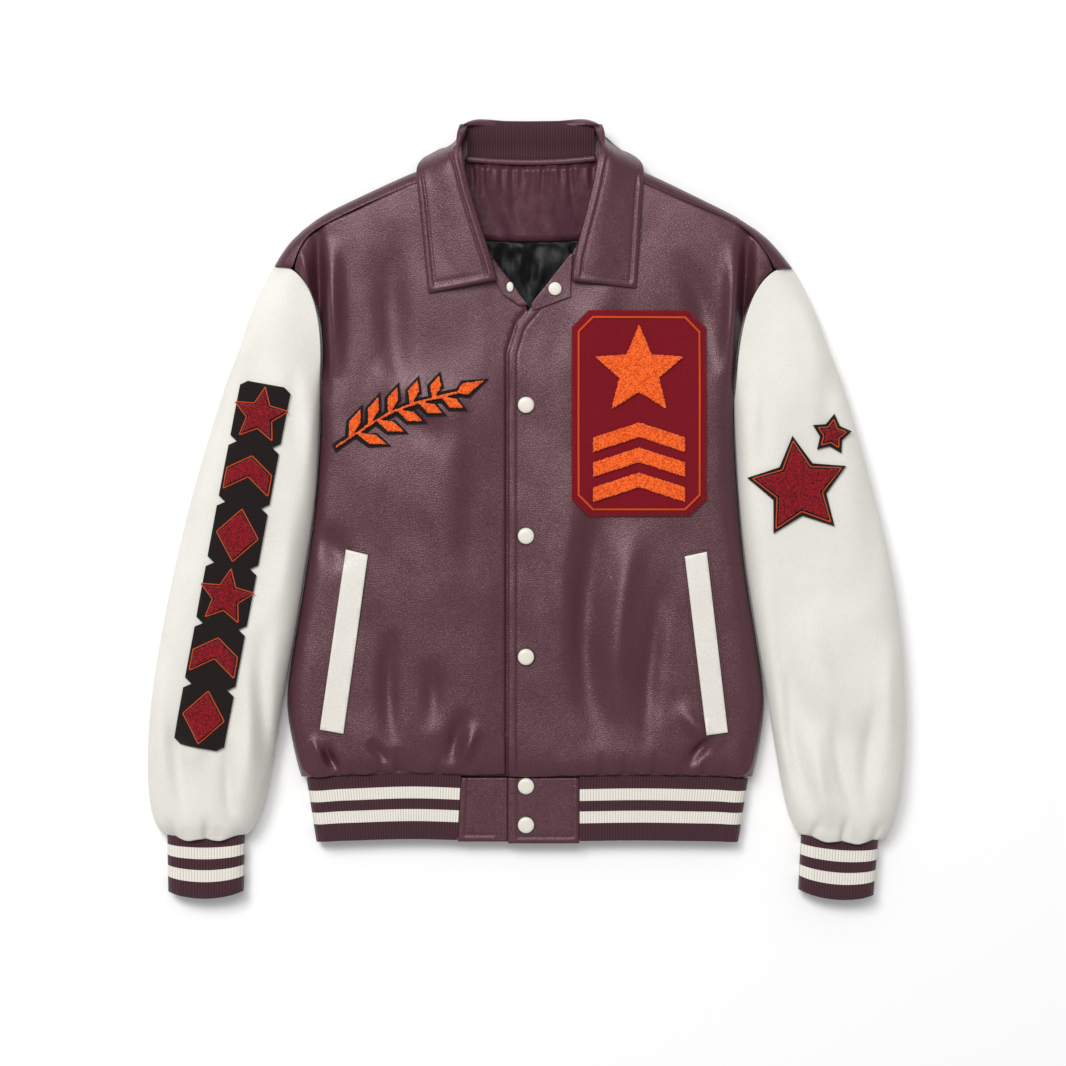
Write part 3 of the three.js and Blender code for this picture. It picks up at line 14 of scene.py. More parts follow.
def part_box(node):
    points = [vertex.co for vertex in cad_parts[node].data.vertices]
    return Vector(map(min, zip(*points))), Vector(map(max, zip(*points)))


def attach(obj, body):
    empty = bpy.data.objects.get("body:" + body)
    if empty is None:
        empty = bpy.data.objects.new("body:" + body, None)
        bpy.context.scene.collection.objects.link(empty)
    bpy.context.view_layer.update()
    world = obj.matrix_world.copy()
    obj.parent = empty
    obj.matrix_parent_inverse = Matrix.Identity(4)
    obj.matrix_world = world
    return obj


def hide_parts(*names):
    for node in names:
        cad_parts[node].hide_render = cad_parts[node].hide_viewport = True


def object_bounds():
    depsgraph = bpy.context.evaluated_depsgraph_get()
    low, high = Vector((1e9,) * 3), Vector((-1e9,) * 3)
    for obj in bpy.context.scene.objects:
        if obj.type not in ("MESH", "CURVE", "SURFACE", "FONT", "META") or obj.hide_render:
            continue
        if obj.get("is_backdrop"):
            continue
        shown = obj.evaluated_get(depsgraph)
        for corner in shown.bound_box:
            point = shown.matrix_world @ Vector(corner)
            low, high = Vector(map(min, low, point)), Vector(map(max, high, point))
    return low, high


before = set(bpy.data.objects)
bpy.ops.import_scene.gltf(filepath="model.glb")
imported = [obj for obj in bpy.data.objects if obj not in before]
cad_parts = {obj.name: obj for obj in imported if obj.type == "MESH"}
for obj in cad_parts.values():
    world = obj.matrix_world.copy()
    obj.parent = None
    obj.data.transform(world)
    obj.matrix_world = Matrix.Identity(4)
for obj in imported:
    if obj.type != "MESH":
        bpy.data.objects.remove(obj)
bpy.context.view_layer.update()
MM = 0.001


# The back
# One panel of plum leather that lies on the floor, lined with satin. It is seamed to the fronts at the
# sides and to the yokes at the shoulders, and its armholes take the sleeves.
MERGE = 0.002 * MM
CUT_EDGE = math.radians(57)
FLAT_WITHIN = math.radians(40)


def copied(node_name):
    """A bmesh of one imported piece: its loose triangles merged and paired into quads."""
    mesh = bmesh.new()
    mesh.from_mesh(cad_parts[node_name].data)
    bmesh.ops.remove_doubles(mesh, verts=mesh.verts, dist=MERGE)
    bmesh.ops.join_triangles(
        mesh, faces=mesh.faces, angle_face_threshold=FLAT_WITHIN, angle_shape_threshold=math.pi
    )
    return mesh


def as_piece(name, mesh, *materials):
    """An object at the origin with this mesh, shaded smooth, riding on the jacket."""
    data = bpy.data.meshes.new(name)
    mesh.to_mesh(data)
    mesh.free()
    piece = bpy.data.objects.new(name, data)
    bpy.context.scene.collection.objects.link(piece)
    data.shade_smooth()
    for material in materials:
        data.materials.append(material)
    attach(piece, "root")
    return piece


def applied(piece):
    """Keeps what the modifiers make as the piece's own mesh."""
    shape = piece.evaluated_get(bpy.context.evaluated_depsgraph_get())
    made = bpy.data.meshes.new_from_object(shape)
    piece.modifiers.clear()
    piece.data = made
    return piece


def rounded(piece, levels):
    """Rounds the faces between the cut edges, which stay as sharp as the shears left them."""
    mesh = bmesh.new()
    mesh.from_mesh(piece.data)
    crease = mesh.edges.layers.float.new("crease_edge")
    for edge in mesh.edges:
        if edge.is_manifold and edge.calc_face_angle() > CUT_EDGE:
            edge[crease] = 1
    mesh.to_mesh(piece.data)
    mesh.free()
    rounding = piece.modifiers.new("Rounding", "SUBSURF")
    rounding.levels = rounding.render_levels = levels
    return applied(piece)


def linear(hex_colour):
    """An sRGB hex colour as the linear colour that a shader takes."""
    parts = [int(hex_colour[k : k + 2], 16) / 255 for k in (1, 3, 5)]
    return [p / 12.92 if p <= 0.04045 else ((p + 0.055) / 1.055) ** 2.4 for p in parts] + [1]


def add_node(material, kind, inputs=None, **fields):
    """Adds a shader node, sets its fields, and gives its inputs values or other nodes' outputs. A node
    that is given as it is stands for its first output in use. Inputs that share a name go by number: a
    Mix takes its factor in 0 and its pair in 2 and 3, 4 and 5 or 6 and 7, by data type, and a MapRange
    takes 0 from the range 1 to 2 to the range 3 to 4."""
    node = material.node_tree.nodes.new("ShaderNode" + kind)
    for field, value in fields.items():
        setattr(node, field, value)
    for socket, value in (inputs or {}).items():
        if isinstance(value, bpy.types.Node):
            value = next(output for output in value.outputs if output.enabled)
        if isinstance(value, bpy.types.NodeSocket):
            material.node_tree.links.new(value, node.inputs[socket])
        else:
            node.inputs[socket].default_value = value
    return node


def bare_material(name):
    """A material without nodes yet, and the function that adds one to it."""
    material = bpy.data.materials.new(name)
    material.use_nodes = True
    material.node_tree.nodes.clear()
    return material, partial(add_node, material)


def grained_leather(name, colour, hollow_shade, pale, sheen, grain, relief, shine):
    """Drum-dyed cowhide with an embossed pebble grain: the valleys are painted deeper in colour, as shade,
    the pebbles' tops are polished, and the hide clouds lighter and darker over a hand's width."""
    material, add = bare_material(name)
    place = add("TexCoord").outputs["Object"]
    wander = add("TexNoise", {"Vector": place, "Scale": 0.35 / (grain * MM)})
    bent = add("Mix", {0: 0.0022, 4: place, 5: wander.outputs["Color"]}, data_type="VECTOR")
    pebble = add("TexVoronoi", {"Vector": bent, "Scale": 1 / (grain * MM)}, feature="DISTANCE_TO_EDGE")
    fine = add(
        "TexNoise",
        {"Vector": place, "Scale": 1 / (0.9 * grain * MM), "Detail": 4, "Roughness": 0.65},
    )
    cloud = add("TexNoise", {"Vector": place, "Scale": 1 / (90 * MM), "Detail": 2})
    top = add("MapRange", {0: pebble, 1: 0.0, 2: 0.22, 3: 0.0, 4: 1.0})
    height = add("Mix", {0: 0.45, 2: top, 3: fine}, data_type="FLOAT")
    clouded = add("MapRange", {0: cloud, 1: 0.35, 2: 0.7, 3: 0.0, 4: 0.55})
    dyed = add("Mix", {0: clouded, 6: linear(colour), 7: linear(pale)}, data_type="RGBA")
    # The valleys between the pebbles are painted darker, as shade.
    valley = add("MapRange", {0: height, 1: 0.25, 2: 0.6, 3: 0.6, 4: 0.0})
    coloured = add("Mix", {0: valley, 6: dyed, 7: linear(hollow_shade)}, data_type="RGBA")
    worn = add("MapRange", {0: fine, 1: 0.3, 2: 0.7, 3: shine + 0.06, 4: shine})
    bump = add("Bump", {"Height": height, "Strength": 1.0, "Distance": relief * MM})
    surface = {
        "Base Color": coloured,
        "Roughness": worn,
        "Specular IOR Level": 0.7,
        "Specular Tint": linear(sheen),
        "Normal": bump,
    }
    add("OutputMaterial", {"Surface": add("BsdfPrincipled", surface)})
    return material


# The real grain is about 1 mm across; it is drawn at 2 mm so that it shows across the whole jacket.
PLUM_GRAIN = 2.0
plum_leather = grained_leather(
    "plum_leather", "#4e2c34", "#351c23", "#57343d", "#f0cfd6", PLUM_GRAIN, 0.15, 0.29
)

back = rounded(as_piece("back_panel", copied("back"), plum_leather), 2)
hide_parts("back")


# The fronts
# Two panels of the same leather. Each hangs from the shoulder seam, is set into the armhole, and is gathered
# into the rib at the waist, so that it falls into soft troughs and puffs out over the band.
Crease = namedtuple("Crease", "x1 y1 x2 y2 bow width rise")
FOLD_DEPTH = 3.9
FRONT_CREASES = [Crease(*row) for row in (
    # The deep fold that stands beside each armhole, and the ridges on both sides of it.
    (-210, 292, -202, 104, 2, 6.2, -4.6),
    (-193, 272, -190, 130, 2, 8, 2.2),
    (-225, 262, -219, 215, 0, 4, 1.2),
    (221, 290, 208, 104, -3, 6.2, -4.6),
    (205, 268, 200, 130, -2, 8, 2.0),
    # Long shallow valleys that run down the chest to the waist.
    (-136, -120, -134, -240, 4, 9, -1.8),
    (-98, -150, -97, -225, -3, 10, -1.3),
    (-60, -200, -78, -262, 3, 7, -1.4),
    (-50, -215, -66, -262, 0, 6, 1.6),
    (-180, -60, -206, -20, 0, 12, -1.2),
    (-150, 150, -60, 90, 12, 18, 1.4),
    (-130, 290, -112, 60, 14, 16, -1.5),
    (-60, 160, -84, -120, 8, 20, 1.2),
    (76, 18, 70, -245, 16, 15, -2.8),
    (112, -10, 94, -215, 10, 13, 2.0),
    (50, 60, 42, -190, 6, 20, 1.4),
    (140, -60, 118, -250, 6, 10, -1.6),
    (150, -195, 196, -238, 4, 8, 1.4),
    (190, -225, 158, -262, 2, 6, -1.8),
    (150, 260, 186, 130, -8, 14, -1.6),
    (90, 250, 60, 120, 6, 20, 1.2),
    # Pulls at the lower corners of the pockets.
    (-158, -232, -138, -262, 0, 6, -1.2),
    (-204, -236, -187, -268, 2, 5.5, -2.4),
    (-215, -228, -196, -262, 2, 5, 1.4),
)]
# Where the waist is gathered: place across, length up the panel, half width and depth.
Gather = namedtuple("Gather", "x length width depth")
GATHERS = [Gather(*row) for row in (
    (-190, 22, 3.4, 1.6),
    (-175, 14, 2.6, 1.1),
    (-147, 20, 2.6, 2.2),
    (-141, 12, 2.0, 1.2),
    (-129, 34, 3.6, 3.0),
    (-123, 12, 1.8, 1.8),
    (-89, 24, 3.0, 1.8),
    (-70, 12, 3.0, 0.9),
    (-44, 14, 4.0, 0.8),
    (36, 12, 3.6, 0.8),
    (56, 16, 2.8, 1.0),
    (75, 30, 3.0, 2.0),
    (98, 26, 3.2, 2.8),
    (106, 16, 2.2, 1.6),
    (128, 30, 3.2, 2.8),
    (134, 14, 1.8, 1.4),
    (154, 18, 3.0, 1.4),
    (178, 22, 3.0, 2.0),
    (197, 18, 3.0, 1.5),
)]
WAIST = -270
# The leather's roll over the band: how far it hangs, where above the seam, and half its height; and half
# the width at which a gather holds it back.
OVERHANG = 3.4
OVERHANG_PLACE = 5
OVERHANG_HALF = 7
WAVE_HALF = 9
# The hem's seam bows up under each front, and droops at the sides.
WAIST_BOW = {"right": (3.6, -115), "left": (1.6, 112)}
WAIST_BOW_HALF = 62
WAIST_DROOP = 1.4
WAIST_SIDES = (185, 215)
PUFF_LENGTH = 18
# The heights, in millimetres, between which a front's point counts more and more as the upper layer.
UPPER_LAYER = (15, 25)


def eased(value, start, end):
    """0 before the start and 1 past the end, with a smooth change between them."""
    share = min(max((value - start) / (end - start), 0), 1)
    return share * share * (3 - 2 * share)


def crease_rise(creases, x, y):
    """How far a list of creases lifts or sinks the cloth at a place in millimetres."""
    rise = 0
    for crease in creases:
        run = Vector((crease.x2 - crease.x1, crease.y2 - crease.y1))
        length = run.length
        run /= length
        off = Vector((x - crease.x1, y - crease.y1))
        share = off.dot(run) / length
        if not 0 < share < 1:
            continue
        arch = math.sin(math.pi * share)
        aside = (off.x * run.y - off.y * run.x - crease.bow * arch) / crease.width
        if abs(aside) < 3:
            rise += FOLD_DEPTH * crease.rise * arch**1.2 * math.exp(-aside * aside)
    return rise


def slack(x, y):
    """The slight unevenness of cloth that hangs free, in millimetres."""
    broad = noise.noise(Vector((x / 75, y / 95, 0.3)))
    middle = noise.noise(Vector((x / 34 + y / 90, y / 60, 2.1)))
    close = noise.noise(Vector((x / 17, y / 26, 4.7)))
    return 2.4 * broad + 1.3 * middle + 0.4 * close


def gathered(x, y):
    """How deep the waist's gathers draw the cloth in at a place, in millimetres."""
    dip = 0
    for gather in GATHERS:
        aside = (x - gather.x) / gather.width
        up = (y - WAIST) / gather.length
        if abs(aside) < 3 and up < 1:
            dip += gather.depth * math.exp(-aside * aside) * (1 - eased(up, 0.15, 1))
    return dip


def waist_wave(x):
    """How far the leather's lower edge hangs at a place along the waist, from 0 to 1."""
    held = [math.exp(-(((x - g.x) / WAVE_HALF) ** 2)) * min(g.depth / 2, 1) for g in GATHERS]
    return 1 - max(held)


def waist_bow(x):
    """How far the hem's seam bows up at a place along the waist, in millimetres."""
    rise, middle = WAIST_BOW["right" if x < 0 else "left"]
    off = (x - middle) / WAIST_BOW_HALF
    return rise * math.exp(-off * off) - WAIST_DROOP * eased(abs(x), *WAIST_SIDES)


def front_rise(x, y):
    """What the fronts' creases and slack add to a place's height, in millimetres."""
    free = eased(y, WAIST, WAIST + PUFF_LENGTH)
    folds = crease_rise(FRONT_CREASES, x, y) + slack(x, y)
    return folds * free - gathered(x, y) * eased(y, WAIST, WAIST + 4)


def front_settled(vertex):
    """A front's point, pushed into the creases, and out over the rib at the waist."""
    x, y, z = vertex.co / MM
    on_top = eased(z, *UPPER_LAYER)
    overhang = math.exp(-(((y - WAIST - OVERHANG_PLACE) / OVERHANG_HALF) ** 2)) * eased(z, 21, 26)
    out = OVERHANG * overhang * (0.2 + 0.9 * waist_wave(x))
    up = waist_bow(x) * (1 - eased(y, WAIST + 8, WAIST + 45)) * on_top
    return Vector((0, (up - out) * MM, front_rise(x, y) * on_top * MM))


def moved(piece, shift):
    """Moves every point of a piece by what the function gives for it, in metres."""
    shifts = [shift(vertex) for vertex in piece.data.vertices]
    for vertex, step in zip(piece.data.vertices, shifts):
        vertex.co += step
    piece.data.update()


def refined(piece, within):
    """Halves the edges of the faces whose middle lies where the function says, for closer folds."""
    mesh = bmesh.new()
    mesh.from_mesh(piece.data)
    chosen = {edge for face in mesh.faces if within(face.calc_center_median() / MM) for edge in face.edges}
    bmesh.ops.subdivide_edges(mesh, edges=list(chosen), cuts=1, use_grid_fill=True)
    mesh.to_mesh(piece.data)
    mesh.free()
    piece.data.shade_smooth()


def near_waist(middle):
    return middle.y < -228


def beside_placket(middle):
    return middle.z > 16 and -6 < right_of(PLACKET_EDGE, middle.x, middle.y)[0] < 12


# Where the left front laps over, its edge presses a furrow into the right one, and its own topstitching
# pulls a finer one 8 mm inside the edge.
PLACKET_EDGE = ((-18, -300), (-18, 155), (-9, 184), (12, 209))
PLACKET_STITCH = 8
LAP_FURROW = 2.8
LAP_OUTSIDE = 2.2
LAP_HALF = 1.7
STITCH_FURROW = 0.7
STITCH_HALF = 1.1
EDGE_ROLL = 0.5


def right_of(places, x, y):
    """How far a place lies to the right of a line that runs through places, and the way across it."""
    nearest = None
    for (x1, y1), (x2, y2) in zip(places, places[1:]):
        run = Vector((x2 - x1, y2 - y1))
        off = Vector((x - x1, y - y1))
        gap = off - run * min(max(off.dot(run) / run.length_squared, 0), 1)
        if nearest is None or gap.length < abs(nearest[0]):
            across = Vector((run.y, -run.x)).normalized()
            nearest = (math.copysign(gap.length, off.dot(across)), across)
    return nearest


def beside(places, out):
    """A line moved to the right of the way it runs, by so many millimetres."""
    made = []
    for k, (x, y) in enumerate(places):
        (x1, y1), (x2, y2) = places[max(k - 1, 0)], places[min(k + 1, len(places) - 1)]
        across = Vector((y2 - y1, x1 - x2)).normalized() * out
        made.append((x + across.x, y + across.y))
    return made


def lapped(vertex):
    x, y, z = vertex.co / MM
    inside, _ = right_of(PLACKET_EDGE, x, y)
    upper = eased(z, 20, 25) * (1 - eased(y, 196, 208))
    furrow = LAP_FURROW * math.exp(-(((inside + LAP_OUTSIDE) / LAP_HALF) ** 2))
    return Vector((0, 0, -furrow * upper * MM))


def topstitched(vertex):
    x, y, z = vertex.co / MM
    inside, _ = right_of(PLACKET_EDGE, x, y)
    upper = eased(z, 22, 27) * (1 - eased(y, 190, 204))
    furrow = STITCH_FURROW * math.exp(-(((inside - PLACKET_STITCH) / STITCH_HALF) ** 2))
    roll = EDGE_ROLL * math.sin(math.pi * min(max(inside / PLACKET_STITCH, 0), 1))
    return Vector((0, 0, (roll - furrow) * upper * MM))


# The seam along each shoulder, from the collar out to the armhole.
SHOULDER_SEAMS = {
    "right": ((-74, 340), (-111, 326), (-168, 301), (-203, 285), (-216, 279), (-225, 269), (-235, 246)),
    "left": ((80, 340), (117, 326), (150, 311), (183, 297), (219, 282), (230, 271), (248, 245)),
}
SEAM_REACH = 12
SEAM_DRAW = 0.7
ARMHOLE_DRAW = 1.5


def seamed(side, way):
    """Draws a piece's edge up to the shoulder seam. way is 1 for what lies below the seam, -1 for above."""
    seam = SHOULDER_SEAMS[side]
    armhole = seam[-1]

    def drawn_up(vertex):
        x, y, _ = vertex.co / MM
        off, across = right_of(seam, x, y)
        if side == "right":
            off, across = -off, -across
        below = off * way
        if not -4 < below < SEAM_REACH:
            return Vector((0, 0, 0))
        reach = SEAM_DRAW + ARMHOLE_DRAW * (1 - eased(math.dist((x, y), armhole), 15, 90))
        return (-across * way * reach * (1 - eased(below, 2, SEAM_REACH)) * MM).to_3d()

    return drawn_up


fronts = {}
for side in ("right", "left"):
    front = rounded(as_piece(f"front_panel_{side}", copied(f"front_{side}"), plum_leather), 3)
    refined(front, near_waist)
    refined(front, beside_placket)
    moved(front, front_settled)
    moved(front, lapped if side == "right" else topstitched)
    moved(front, seamed(side, 1))
    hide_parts(f"front_{side}")
    fronts[side] = front


def surface_of(*pieces):
    """Looks straight down on finished pieces: gives the point and the normal of the highest face there."""
    trees = []
    for piece in pieces:
        mesh = bmesh.new()
        mesh.from_mesh(piece.data)
        trees.append(BVHTree.FromBMesh(mesh))
        mesh.free()

    def look(x, y):
        found = None
        for tree in trees:
            point, normal, _, _ = tree.ray_cast(Vector((x * MM, y * MM, 0.2)), Vector((0, 0, -1)))
            if point is not None and (found is None or point.z > found[0].z):
                found = (point, normal)
        return found

    return look


def along(places, step):
    """Points at even steps, in millimetres, along a line through places."""
    points = []
    carried = 0.0
    for (x1, y1), (x2, y2) in zip(places, places[1:]):
        length = math.hypot(x2 - x1, y2 - y1)
        spot = carried
        while spot < length:
            share = spot / length
            points.append((x1 + (x2 - x1) * share, y1 + (y2 - y1) * share))
            spot += step
        carried = spot - length
    return points


def sewing_thread(name, colour):
    """Bonded polyester thread, twisted tight, with a faint shine."""
    material, add = bare_material(name)
    place = add("TexCoord").outputs["Object"]
    twist = add("TexNoise", {"Vector": place, "Scale": 1 / (0.5 * MM)})
    tone = add("MapRange", {0: twist, 1: 0.2, 2: 0.8, 3: 0.0, 4: 0.4})
    spun = add("Mix", {0: tone, 6: linear(colour), 7: linear("#1c1215")}, data_type="RGBA")
    shader = add("BsdfPrincipled", {"Base Color": spun, "Roughness": 0.55})
    add("OutputMaterial", {"Surface": shader})
    return material


STITCH_PITCH = 3.2
STITCH_SHARE = 0.72
THREAD = 0.8
plum_thread = sewing_thread("plum_thread", "#22131a")


def stitched(name, look, lines, thread=plum_thread, pitch=STITCH_PITCH, sunk=0.1):
    """A row of lockstitches along each line, each a short spindle of thread lying on the surface."""
    mesh = bmesh.new()
    for places in lines:
        points = along(places, pitch)
        for (x1, y1), (x2, y2) in zip(points, points[1:]):
            found = look((x1 + x2) / 2, (y1 + y2) / 2)
            ahead = look(x2, y2)
            if found is None or ahead is None:
                continue
            point, normal = found
            way = Vector((x2 - x1, y2 - y1, 0)).normalized()
            way = (way - normal * way.dot(normal)).normalized()
            across = normal.cross(way)
            made = bmesh.ops.create_icosphere(mesh, subdivisions=1, radius=1)
            reach = STITCH_SHARE * pitch / 2
            for vertex in made["verts"]:
                a, b, c = vertex.co
                vertex.co = point + MM * (
                    way * a * reach + across * b * THREAD / 2 + normal * (c * THREAD / 2 - sunk)
                )
    as_piece(name, mesh, thread)


# The placket's topstitching runs 8 mm inside the left front's edge, and follows it up to the corner.
placket_line = beside(((-18, -264), *PLACKET_EDGE[1:]), PLACKET_STITCH)
stitched("placket_stitching", surface_of(fronts["left"]), [placket_line])


# The yokes
# A strip of leather over each shoulder, from the front seam to the shoulder's edge, where it meets the back.
# Two rows of topstitching hold the seam allowance down.
YOKE_ROWS = (2.6, 6.2)
yokes = {}
for side in ("right", "left"):
    yoke = rounded(as_piece(f"shoulder_yoke_{side}", copied(f"yoke_{side}"), plum_leather), 3)
    moved(yoke, seamed(side, -1))
    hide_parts(f"yoke_{side}")
    yokes[side] = yoke

for side, seam in SHOULDER_SEAMS.items():
    way = 1 if side == "right" else -1
    lines = [beside(seam, way * YOKE_ROWS[0]), beside(seam[:-1], way * YOKE_ROWS[1])]
    stitched(f"shoulder_stitching_{side}", surface_of(fronts[side], yokes[side]), lines)


# The sleeves
# Off-white melton wool, cut in one and sewn into the armholes. Each lies flat, folds where the arm would
# bend, and is gathered into its cuff, so that it puffs over the rib in two lobes.
SLEEVE_CREASES = [Crease(*row) for row in (
    (-262, -110, -258, -270, 5, 9, -3.2),
    (-276, -150, -284, -300, -6, 10, 2.4),
    (-296, -230, -292, -326, 4, 7, -2.4),
    (-350, -200, -338, -318, 4, 9, -2.4),
    (-366, -150, -356, -300, 4, 9, 1.6),
    (-346, 40, -352, -100, -5, 12, -1.6),
    (-236, 20, -252, -110, -6, 10, 1.4),
    (-288, 210, -300, 90, 6, 14, 1.6),
    (-262, 200, -268, 90, 4, 12, -1.4),
    (-232, 150, -226, 40, 3, 8, -1.4),
    (-310, -215, -340, -260, 3, 12, 1.4),
    (253, -60, 300, -250, 18, 12, -2.6),
    (282, -90, 336, -236, 16, 14, 2.2),
    (262, -150, 286, -316, 8, 8, -3.2),
    (306, -190, 330, -318, 6, 8, -2.6),
    (286, -210, 306, -326, 5, 8, 2.2),
    (352, -180, 338, -310, 5, 9, -2.0),
    (366, -120, 362, -260, 4, 9, 1.5),
    (330, 40, 348, -80, -5, 12, -1.4),
    (236, 150, 232, 40, -3, 8, -1.3),
    (272, 215, 292, 110, -6, 13, 1.5),
    (300, 150, 306, 40, 3, 11, -1.2),
)]
# The sleeves' folds are this much shallower than the body's, and their slack this much greater.
SLEEVE_FOLD_SHARE = 0.7
SLEEVE_SLACK = 1.2
SLEEVE_TOP = (16, 30)
CUFF_SEAM = -330
# The notches where the wool is caught into the cuff: place, lean of the fold, its length, width and depth.
Notch = namedtuple("Notch", "x y dx length width depth")
CUFF_NOTCHES = [Notch(*row) for row in (
    (-321, -330, 0.05, 24, 4.0, 5.5),
    (-353, -328, -0.25, 20, 4.5, 4.0),
    (-288, -328, -0.35, 22, 4.5, 4.0),
    (-337, -334, 0.1, 12, 6.0, -1.0),
    (-304, -334, -0.1, 12, 6.0, -1.0),
    (316, -331, 0.1, 24, 4.0, 5.5),
    (285, -330, 0.35, 22, 4.5, 4.0),
    (347, -333, 0.2, 20, 4.5, 4.0),
)]
# Near its armhole, a round spot on each side, a sleeve keeps the shape that the seam gives it.
ARMHOLE_SPOT = (215, 180)
ARMHOLE_REACH = 60


def notch_dip(x, y):
    """The depth of the folds that run up from the cuff's notches, in millimetres."""
    dip = 0
    for notch in CUFF_NOTCHES:
        up = (y - notch.y) / notch.length
        aside = (x - notch.x - notch.dx * (y - notch.y)) / (notch.width * (0.8 + 0.5 * max(up, 0)))
        if up < 1.2 and abs(aside) < 3:
            dip += notch.depth * math.exp(-aside * aside) * (1 - eased(up, 0.1, 1.2))
    return dip


def sleeve_rise(x, y):
    """What the sleeves' creases, slack and notches add to a place's height, in millimetres."""
    free = eased(y, CUFF_SEAM, CUFF_SEAM + 14)
    folds = SLEEVE_FOLD_SHARE * crease_rise(SLEEVE_CREASES, x, y)
    return (folds + SLEEVE_SLACK * slack(x + 31, y - 17)) * free - notch_dip(x, y)


def sleeve_settled(vertex):
    x, y, z = vertex.co / MM
    armhole = math.dist((abs(x), y), ARMHOLE_SPOT) / ARMHOLE_REACH
    on_top = eased(z, *SLEEVE_TOP) * min(armhole, 1)
    return Vector((0, 0, sleeve_rise(x, y) * on_top * MM))


def fulled_wool(name, colour, shadow, fibre, tones, relief, lustre, drawn=1.0, clouds=0.0, twist=0.0):
    """Fulled or pressed wool: the weave is felted over, so the eye sees a soft nap of short stray fibres and
    no gloss. Real fibres are far finer than a pixel, so the nap is drawn coarser, and drawn out along Y."""
    material, add = bare_material(name)
    place = add("TexCoord").outputs["Object"]
    along_cloth = add("Mapping", {"Vector": place, "Scale": (1.0, drawn, 1.0)})
    nap_inputs = {"Vector": along_cloth, "Scale": 1 / (fibre * MM), "Detail": 5, "Roughness": 0.7}
    nap = add("TexNoise", {**nap_inputs, "Distortion": twist})
    cloud = add("TexNoise", {"Vector": place, "Scale": 1 / (60 * MM), "Detail": 3})
    both = add("Mix", {0: clouds, 2: nap, 3: cloud}, data_type="FLOAT")
    tone = add("MapRange", {0: both, 1: tones[0], 2: tones[1], 3: 0.0, 4: 1.0})
    dye_inputs = {0: tone, 6: linear(shadow), 7: linear(colour)}
    dyed = add("Mix", dye_inputs, data_type="RGBA")
    bump = add("Bump", {"Height": nap, "Strength": 0.7, "Distance": relief * MM})
    surface = {
        "Base Color": dyed,
        "Roughness": 0.95,
        "Sheen Weight": lustre,
        "Specular IOR Level": lustre,
        "Normal": bump,
    }
    add("OutputMaterial", {"Surface": add("BsdfPrincipled", surface)})
    return material


# The melton's nap is brushed along the sleeve, and its dye clouds a little.
cream_melton = fulled_wool(
    "cream_melton", "#e9e7e0", "#dcd9d0", 1.4, (0.35, 0.68), 0.35, 0.25, drawn=0.35, clouds=0.45
)
sleeves = {}
for side in ("right", "left"):
    sleeve = rounded(as_piece(f"wool_sleeve_{side}", copied(f"sleeve_{side}"), cream_melton), 3)
    moved(sleeve, sleeve_settled)
    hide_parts(f"sleeve_{side}")
    sleeves[side] = sleeve


# The hem band and the cuffs
# Doubled one-by-one rib knit in plum wool, with two cream stripes knitted in. The hem's band joins the
# leather tabs at the front, and each cuff is a seamless tube.
RIB = 2.8
HEM_TOP = -270.6
HEM_DEPTH = 64
HEM_TAPER = 0.045
TAB_SPLAY = 3.5
HEM_FROM = {"right": -66.3, "left": 52.8}
CUFF_LENGTH = 56
CUFF_BOW = 7
CUFF_HALF = 39.5
CUFF_TAPER = 0.025
CUFF_RIBS_FROM = -27.2
CUFF_RIB = 54.4 / 19
CUFF_CORNER_DROP = 2.3
# The two stripes' edges below each band's upper edge.
HEM_STRIPES = (12.2, 23.8, 34.4, 46.2)
CUFF_STRIPES = (10.5, 20.8, 30.6, 41.2)
HEM_CUTS = (-278, -287, -297, -308, -320, -330)
HEM_BOW_LOSS = 0.3
# For each cuff, the middle of its upper edge and its turn in radians.
CUFF_TOPS = {"right": (-323.2, -328.5, 0.0), "left": (314.7, -331.0, -0.07)}


